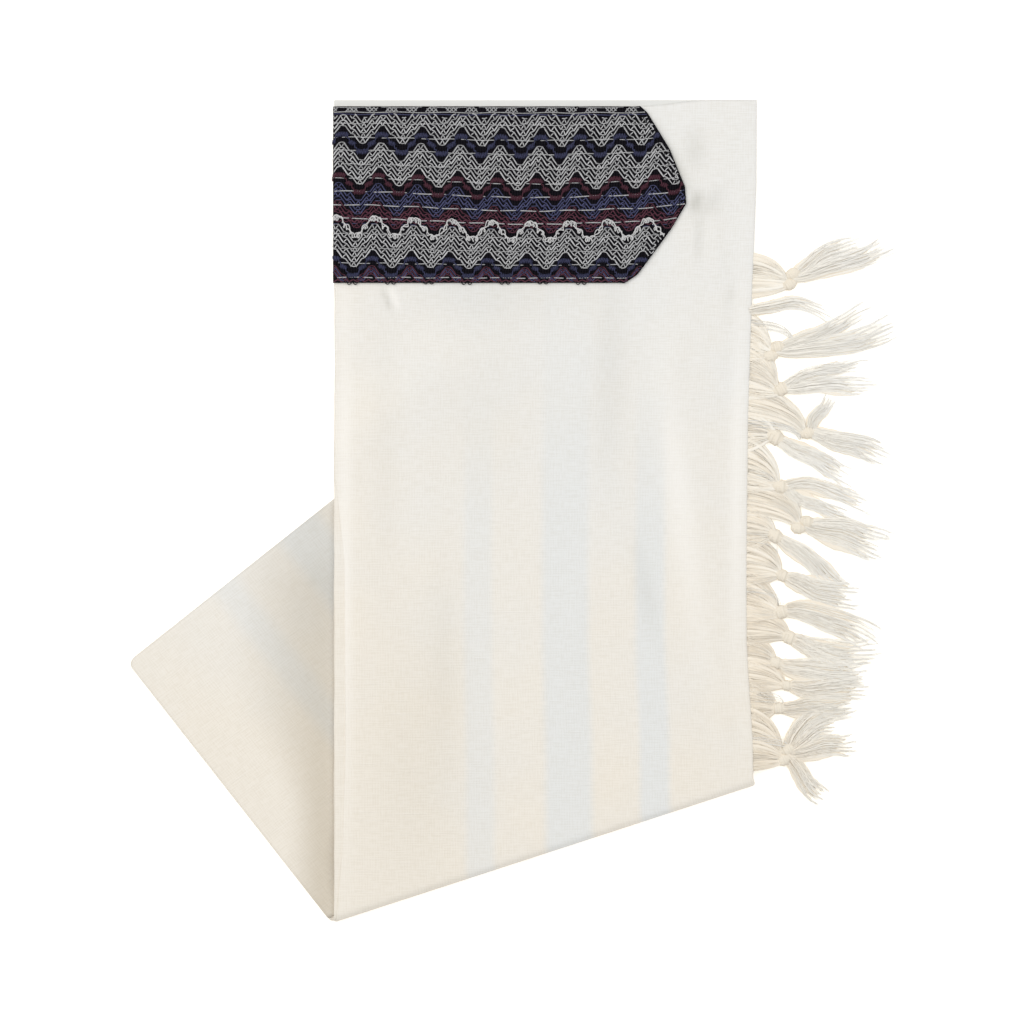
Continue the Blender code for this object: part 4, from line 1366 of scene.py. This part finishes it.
# ------------------------------------------------------------------ materials
class Nodes:
    """A short way to write a material's nodes and links."""

    def __init__(self, name):
        self.material = bpy.data.materials.new(name)
        self.material.use_nodes = True
        self.tree = self.material.node_tree
        self.shader = self.tree.nodes["Principled BSDF"]

    def add(self, kind, values=(), **settings):
        """A node of this kind; values go to its inputs by name or number."""
        node = self.tree.nodes.new(kind)
        for name, value in settings.items():
            setattr(node, name, value)
        for socket, value in dict(values).items():
            self.set(node.inputs[socket], value)
        return node

    def set(self, socket, value):
        """Links a socket to a node's output, or gives it a value."""
        if isinstance(value, bpy.types.NodeSocket):
            self.tree.links.new(value, socket)
        else:
            socket.default_value = value

    def math(self, operation, first, second=0.0, third=0.0):
        """The output of a Math node."""
        values = {0: first, 1: second, 2: third}
        return self.add("ShaderNodeMath", values, operation=operation).outputs[0]

    def wave(self, along, length):
        """A sine of this length along a coordinate."""
        return self.math("SINE", self.math("MULTIPLY", along, math.tau / length))

    def mix(self, share, first, second, blend="MIX"):
        """A colour between two others, or the first tinted with the second."""
        node = self.add("ShaderNodeMix", data_type="RGBA", blend_type=blend)
        for socket, value in (("Factor", share), ("A", first), ("B", second)):
            self.set(node.inputs[socket], value)
        return node.outputs["Result"]

    def noise(self, vector, scale, detail=2.0, rough=0.5):
        """The value of a Noise texture on a vector."""
        values = {"Vector": vector, "Scale": scale, "Detail": detail, "Roughness": rough}
        return self.add("ShaderNodeTexNoise", values).outputs["Fac"]

    def scaled(self, vector, scale, turn=0.0):
        """A vector through a Mapping node."""
        values = {"Vector": vector, "Scale": scale, "Rotation": (0.0, 0.0, turn)}
        return self.add("ShaderNodeMapping", values).outputs[0]

    def grain(self, vector, scale, detail=2.0, rough=0.6, turn=0.0):
        """Noise drawn out by its own scale along each axis."""
        return self.noise(self.scaled(vector, scale, turn), 1.0, detail, rough)

    def ramp(self, value, low, high):
        """Goes from 0 to 1 smoothly as a value goes from low to high."""
        values = {"Value": value, "From Min": low, "From Max": high}
        return self.add("ShaderNodeMapRange", values, interpolation_type="SMOOTHSTEP").outputs[0]

    def cloth_uv(self):
        """The cloth's UV map, which is in metres, and its two coordinates."""
        uv = self.add("ShaderNodeUVMap", uv_map="cloth").outputs[0]
        return uv, *self.add("ShaderNodeSeparateXYZ", {0: uv}).outputs[:2]

    def shade(self):
        """The mesh's own shade at each point."""
        return self.add("ShaderNodeAttribute", attribute_name="shade").outputs["Fac"]

    def place(self):
        """Object coordinates."""
        return self.add("ShaderNodeTexCoord").outputs["Object"]

    def finish(self, colour, height, distance, strength=1.0, **sockets):
        """Links colour and bump and sets the shader's own values."""
        self.set(self.shader.inputs["Base Color"], colour)
        values = {"Height": height, "Distance": distance, "Strength": strength}
        bump = self.add("ShaderNodeBump", values)
        self.set(self.shader.inputs["Normal"], bump.outputs[0])
        for name, value in sockets.items():
            self.shader.inputs[name.replace("_", " ")].default_value = value
        return self.material


def colour4(value):
    """A property colour as four numbers."""
    return (*value[:3], 1.0)


def ivory(n, u, v, uv):
    """Ivory that turns creamier down the strip, at its left, and in clouds."""
    look = bpy.context.scene.shawl_colours
    cloudy = n.grain(uv, CLOUDS, rough=0.5)
    back = n.math("MULTIPLY", n.ramp(v, *WARM_BACK), 0.5)
    down = n.math("SUBTRACT", n.ramp(v, *WARM_DOWN), back)
    left = n.math("MULTIPLY", n.ramp(u, WARM_LEFT, 0.0), 0.35)
    clouds = n.math("MULTIPLY_ADD", cloudy, 0.9, -0.45)
    share = n.math("ADD", down, n.math("ADD", left, clouds))
    share = n.math("MINIMUM", n.math("MAXIMUM", share, 0.0), 1.0)
    return n.mix(share, colour4(look.cloth), colour4(look.cloth_warm))


def striped(n, stripes, u, v, weft):
    """Share of the woven stripes, soft and uneven along their sides."""
    total = 0.0
    uneven = n.math("MULTIPLY", n.math("SUBTRACT", weft, 0.5), STRIPE_UNEVEN)
    for middle, half, soft, strength, faint, begins, ends in stripes:
        edge = n.math("ABSOLUTE", n.math("SUBTRACT", u, middle * MM))
        edge = n.math("ADD", edge, uneven)
        band = n.math("SUBTRACT", 1.0, n.ramp(edge, (half - soft) * MM, (half + soft) * MM))
        fade = n.math("MULTIPLY_ADD", n.ramp(v, begins * MM, ends * MM), strength - faint, faint)
        total = n.math("MULTIPLY_ADD", band, fade, total)
    return total


def cloth_material(name, stripes, edge_grey=0.0, painted_shade=None):
    """Slub-woven cloth: long uneven wefts across, finer warps, soft stripes.

    It is greyer by edge_grey along the neck edge; where the mesh's shade is above 0
    it gets painted shade, and where it is below 0 a painted highlight.
    """
    look = bpy.context.scene.shawl_colours
    n = Nodes(name)
    uv, u, v = n.cloth_uv()
    weft, warp = n.grain(uv, WEFT), n.grain(uv, WARP)
    slub = n.ramp(n.grain(uv, SLUBS, 1.0, 0.4), 0.60, 0.80)
    base = n.mix(striped(n, stripes, u, v, weft), ivory(n, u, v, uv), colour4(look.stripe))
    thread = n.math("ADD", n.math("MULTIPLY", weft, 0.55), n.math("MULTIPLY", warp, 0.45))
    for axis, pitch in ((u, WARP_PITCH), (v, WEFT_PITCH)):
        thread = n.math("MULTIPLY_ADD", n.wave(axis, pitch), 0.03, thread)
    between = n.mix(n.ramp(thread, 0.36, 0.60), colour4(look.cloth_shade), WHITE)
    woven = n.mix(0.5, base, between, blend="MULTIPLY")
    lit = n.mix(n.math("MULTIPLY", slub, 0.10), woven, SLUB_WHITE)
    grey = n.math("MULTIPLY", n.ramp(v, *EDGE_GREY), edge_grey)
    lit = n.mix(grey, lit, colour4(look.edge))
    # Painted highlight where the shade is below 0, painted shade where it is above.
    if painted_shade:
        shade = n.shade()
        lit = n.mix(n.math("MULTIPLY", shade, -1.0), lit, colour4(look.painted_highlight))
        lit = n.mix(shade, lit, colour4(painted_shade), blend="MULTIPLY")
    height = n.math("ADD", thread, n.math("MULTIPLY", slub, 0.6))
    soft = {"Roughness": 0.92, "Specular_IOR_Level": 0.3, "Sheen_Weight": 0.1}
    return n.finish(lit, height, 0.3 * MM, 0.5, **soft)


def ground_material():
    """Near-black knitted ground: upright stitches in rows, slightly fuzzy."""
    look = bpy.context.scene.shawl_colours
    n = Nodes("band_ground")
    uv, u, v = n.cloth_uv()
    stitch, course = n.wave(u, STITCH_WIDE), n.wave(v, STITCH_HIGH)
    fuzz = n.noise(uv, 1400.0, 3.0, 0.6)
    height = n.math("ADD", n.math("MULTIPLY", stitch, 0.5), n.math("MULTIPLY", course, 0.5))
    height = n.math("ADD", height, fuzz)
    colour = n.mix(n.ramp(height, -0.3, 1.6), colour4(look.ground), colour4(look.ground_light))
    return n.finish(colour, height, 0.4 * MM, 0.8, Roughness=0.95, Specular_IOR_Level=0.08)


def yarn_material(name, dark, light):
    """Spun yarn: fine twisted fibres, each strand a little darker or lighter."""
    n = Nodes(name)
    fibre = n.grain(n.place(), YARN_FIBRE, turn=0.6)
    share = n.math("MULTIPLY_ADD", n.shade(), 0.35, n.math("MULTIPLY", fibre, 0.75))
    colour = n.mix(n.ramp(share, 0.15, 0.8), colour4(dark), colour4(light))
    return n.finish(colour, fibre, 0.2 * MM, 0.5, Roughness=0.85, Specular_IOR_Level=0.2)


def fringe_material():
    """Soft cotton threads: cream at the cloth and the knots, the knots' cream with painted shade, whiter at
    the tips.
    """
    look = bpy.context.scene.shawl_colours
    n = Nodes("fringe_thread")
    fibre = n.grain(n.place(), COTTON_FIBRE, turn=0.2)
    share = n.math("ADD", n.shade(), n.math("MULTIPLY_ADD", fibre, 0.4, -0.2))
    colour = colour4(look.knot)
    steps = ((-0.4, 0.0, look.thread_warm), (0.0, 0.55, look.thread), (0.5, 1.0, look.thread_tip))
    for low, high, lighter in steps:
        colour = n.mix(n.ramp(share, low, high), colour, colour4(lighter))
    return n.finish(colour, fibre, 0.15 * MM, 0.3, Roughness=0.95, Specular_IOR_Level=0.1)


def floor_material():
    """Pale paper with a little warm light of its own."""
    n = Nodes("pale_floor")
    grain = n.noise(n.place(), 3.0, 2.0)
    tone = n.mix(grain, (0.965, 0.965, 0.965, 1.0), (0.98, 0.98, 0.98, 1.0))
    glow = {"Emission_Color": (1.0, 0.93, 0.80, 1.0), "Emission_Strength": 0.35}
    return n.finish(tone, grain, 0.1 * MM, 0.1, Roughness=0.9, **glow)


def dress(piece, material, nodes=()):
    """Gives a piece its finish, body and slot, and hides the solids that it stands for."""
    piece.data.materials.append(material)
    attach(piece, "root")
    if nodes:
        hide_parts(*nodes)


# ----------------------------------------------------------------- properties
class ShawlColours(bpy.types.PropertyGroup):
    """Colours of the cloth, the band's yarns and the fringe."""

    def swatch(name, description, default):
        return bpy.props.FloatVectorProperty(
            name=name, description=description, default=default, size=3, subtype="COLOR", min=0.0, max=1.0
        )

    cloth: swatch("Cloth", "Ivory of the cloth where it is coolest", (0.785, 0.777, 0.752))
    cloth_warm: swatch("Warm cloth", "Cream of the cloth where it is warmest", (0.82, 0.768, 0.682))
    cloth_shade: swatch("Between threads", "Tint of the gaps of the weave", (0.88, 0.86, 0.82))
    stripe: swatch("Stripe", "Pale blue-grey of the woven stripes", (0.742, 0.753, 0.745))
    # Painted highlight of the cloth's ridges.
    painted_highlight: swatch("Ridges", "Lightest cloth on its soft ridges", (0.93, 0.905, 0.86))
    # Painted shade of the front cloth's hollows.
    painted_shade: swatch("Hollows", "Tint of the front cloth's hollows", (0.765, 0.765, 0.745))
    # Painted shade of the rear cloth beside the front cloth.
    painted_shade_warm: swatch("Rear hollows", "Tint of the rear cloth beside the front", (0.78, 0.755, 0.71))
    edge: swatch("Neck edge", "Dull grey of the cloth along the neck edge", (0.70, 0.70, 0.675))
    ground: swatch("Band ground", "Darkest yarn of the neck band", (0.0015, 0.0015, 0.003))
    ground_light: swatch("Band ground, light", "Raised stitches of the ground", (0.012, 0.010, 0.014))
    pale: swatch("Pale yarn", "Light grey yarn of the zigzags", (0.66, 0.66, 0.67))
    navy: swatch("Navy yarn", "Blue yarn of the zigzags", (0.098, 0.104, 0.215))
    maroon: swatch("Maroon yarn", "Dark red yarn of the zigzags", (0.122, 0.040, 0.062))
    curled: swatch("Curled yarn", "White yarn of the looped row", (0.68, 0.67, 0.66))
    thread: swatch("Fringe", "Cream of the fringe threads", (0.882, 0.849, 0.777))
    thread_warm: swatch("Fringe, warm", "Fringe threads beside the cloth", (0.862, 0.787, 0.669))
    # The knots' colour is the threads' cream darkened by painted shade of their wound turns.
    knot: swatch("Knots", "Cream of the tightly wound knots", (0.810, 0.744, 0.632))
    thread_tip: swatch("Fringe, tips", "Whiter ends of the threads", (0.900, 0.886, 0.849))


class ShawlStage(bpy.types.PropertyGroup):
    """Sizes and strengths of the studio."""

    frame_width: bpy.props.FloatProperty(
        name="Frame width", description="Width of the view at the floor",
        default=FRAME_WIDTH, min=0.1, subtype="DISTANCE", unit="LENGTH",
    )
    lens: bpy.props.FloatProperty(
        name="Lens", description="Focal length in millimetres", default=200.0, min=20.0
    )
    key_power: bpy.props.FloatProperty(
        name="Key light", description="Power of the large light", default=38.5, min=0.0, subtype="POWER"
    )
    fill_power: bpy.props.FloatProperty(
        name="Fill light", description="Power of the opposite light", default=24.0, min=0.0, subtype="POWER"
    )
    sky: bpy.props.FloatProperty(
        name="Surround", description="Brightness of the white surround", default=0.56, min=0.0
    )


# ------------------------------------------------------------------ operators
class ClothOperator(bpy.types.Operator):
    """Builds the outer cloth of the front, and under the rear stretch"""

    bl_idname = "shawl.front_cloth"
    bl_label = "Front cloth"

    def execute(self, context):
        piece = front_cloth()
        look = context.scene.shawl_colours
        material = cloth_material("front_weave", FRONT_STRIPES, painted_shade=look.painted_shade)
        dress(piece, material, ["front_panel"])
        return {"FINISHED"}


class RearClothOperator(bpy.types.Operator):
    """Builds the upper cloth of the rear stretch"""

    bl_idname = "shawl.rear_cloth"
    bl_label = "Rear cloth"

    def execute(self, context):
        piece = rear_cloth()
        look = context.scene.shawl_colours
        material = cloth_material("rear_weave", REAR_STRIPES, painted_shade=look.painted_shade_warm)
        dress(piece, material, ["rear_panel"])
        return {"FINISHED"}


class LayersOperator(bpy.types.Operator):
    """Builds the folded layers between the outer cloths"""

    bl_idname = "shawl.folded_layers"
    bl_label = "Folded layers"

    def execute(self, context):
        piece = folded_layers()
        material = cloth_material("layer_weave", (), edge_grey=0.9)
        dress(piece, material, ["folded_layers"])
        return {"FINISHED"}


def darker(colour, share):
    """A colour times a share."""
    return [share * value for value in colour]


class BandOperator(bpy.types.Operator):
    """Builds the neck band's ground and every yarn on it"""

    bl_idname = "shawl.neck_band"
    bl_label = "Neck band"

    def execute(self, context):
        look = context.scene.shawl_colours
        ground = band_cloth()
        dress(ground, ground_material(), ["neck_band"])
        yarns = [*band_yarns(), curled_yarn(), edge_loops()]
        finishes = (
            # name, between the fibres, on the fibres
            ("pale_yarn", darker(look.pale, 0.22), look.pale),
            ("navy_yarn", darker(look.navy, 0.2), look.navy),
            ("maroon_yarn", darker(look.maroon, 0.4), look.maroon),
            ("curled_yarn", darker(look.pale, 0.7), look.curled),
            ("dark_yarn", look.ground, look.ground_light),
        )
        for yarn, finish in zip(yarns, finishes):
            dress(yarn, yarn_material(*finish))
        return {"FINISHED"}


class FringeOperator(bpy.types.Operator):
    """Builds the tassels and the threads that have slipped loose"""

    bl_idname = "shawl.fringe"
    bl_label = "Fringe"

    def execute(self, context):
        material = fringe_material()
        for number in range(len(TASSELS)):
            dress(tassel(number), material, [f"tassel_{number + 1:02d}"])
        loose = tube_object("fringe_loose", [loose_threads(np.random.default_rng(LOOSE_SEED))])
        dress(loose, material)
        return {"FINISHED"}


def stage_floor():
    """A flat square just below the shawl."""
    side = np.linspace(-FLOOR_REACH, FLOOR_REACH, 9)
    points = stacked(*np.meshgrid(side, side), -FLOOR_GAP)
    floor = make_object("floor", points, grid_faces(np.arange(81).reshape(9, 9))[:, ::-1])
    floor.data.materials.append(floor_material())


def area_light(name, place, power, colour):
    """A large square light that faces the middle of the object."""
    light = bpy.data.lights.new(name, "AREA")
    light.shape = "SQUARE"
    light.size = LIGHT_SIZE
    light.energy = power
    light.color = colour
    made = bpy.data.objects.new(name, light)
    made.location = place
    away = np.array(place) / np.linalg.norm(place)
    made.rotation_euler = (math.acos(away[2]), 0.0, math.atan2(away[0], -away[1]))
    bpy.context.scene.collection.objects.link(made)


def white_surround(scene, strength):
    """A plain white world."""
    world = bpy.data.worlds.new("surround")
    world.use_nodes = True
    back = world.node_tree.nodes["Background"]
    back.inputs["Color"].default_value = WHITE
    back.inputs["Strength"].default_value = strength
    scene.world = world
    scene.view_settings.view_transform = "Standard"


def camera_above(scene, lens, frame_width):
    """A camera straight above, as far off as the frame's width needs."""
    data = bpy.data.cameras.new("camera")
    data.lens = lens
    camera = bpy.data.objects.new("camera", data)
    camera.location = (*CAMERA_OFF, frame_width * lens / data.sensor_width)
    scene.collection.objects.link(camera)
    scene.camera = camera


class StageOperator(bpy.types.Operator):
    """Builds the floor, the lights, the surround and the camera"""

    bl_idname = "shawl.stage"
    bl_label = "Studio"

    def execute(self, context):
        stage = context.scene.shawl_stage
        stage_floor()
        area_light("key", KEY_PLACE, stage.key_power, (1.0, 0.99, 0.975))
        area_light("fill", FILL_PLACE, stage.fill_power, (0.97, 0.985, 1.0))
        white_surround(context.scene, stage.sky)
        camera_above(context.scene, stage.lens, stage.frame_width)
        return {"FINISHED"}


class ShawlPanel(bpy.types.Panel):
    """Lists the colours, the studio's values and the operators"""

    bl_idname = "VIEW3D_PT_shawl"
    bl_label = "Folded Tallit"
    bl_space_type = "VIEW_3D"
    bl_region_type = "UI"
    bl_category = "Tallit"

    def draw(self, context):
        for group in (context.scene.shawl_colours, context.scene.shawl_stage):
            box = self.layout.box()
            for name in group.__annotations__:
                box.prop(group, name)
        for operator in OPERATORS:
            self.layout.operator(operator.bl_idname)


OPERATORS = (StageOperator, ClothOperator, RearClothOperator, LayersOperator, BandOperator, FringeOperator)
CLASSES = (ShawlColours, ShawlStage, *OPERATORS, ShawlPanel)


def register():
    """Registers the classes and hangs the properties on the scene."""
    for cls in CLASSES:
        bpy.utils.register_class(cls)
    bpy.types.Scene.shawl_colours = bpy.props.PointerProperty(type=ShawlColours)
    bpy.types.Scene.shawl_stage = bpy.props.PointerProperty(type=ShawlStage)


def unregister():
    """Takes back what register did."""
    del bpy.types.Scene.shawl_colours
    del bpy.types.Scene.shawl_stage
    for cls in reversed(CLASSES):
        bpy.utils.unregister_class(cls)


def main():
    """Builds every piece."""
    register()
    bpy.ops.shawl.stage()
    bpy.ops.shawl.front_cloth()
    bpy.ops.shawl.rear_cloth()
    bpy.ops.shawl.folded_layers()
    bpy.ops.shawl.neck_band()
    bpy.ops.shawl.fringe()


if __name__ == "__main__":
    main()
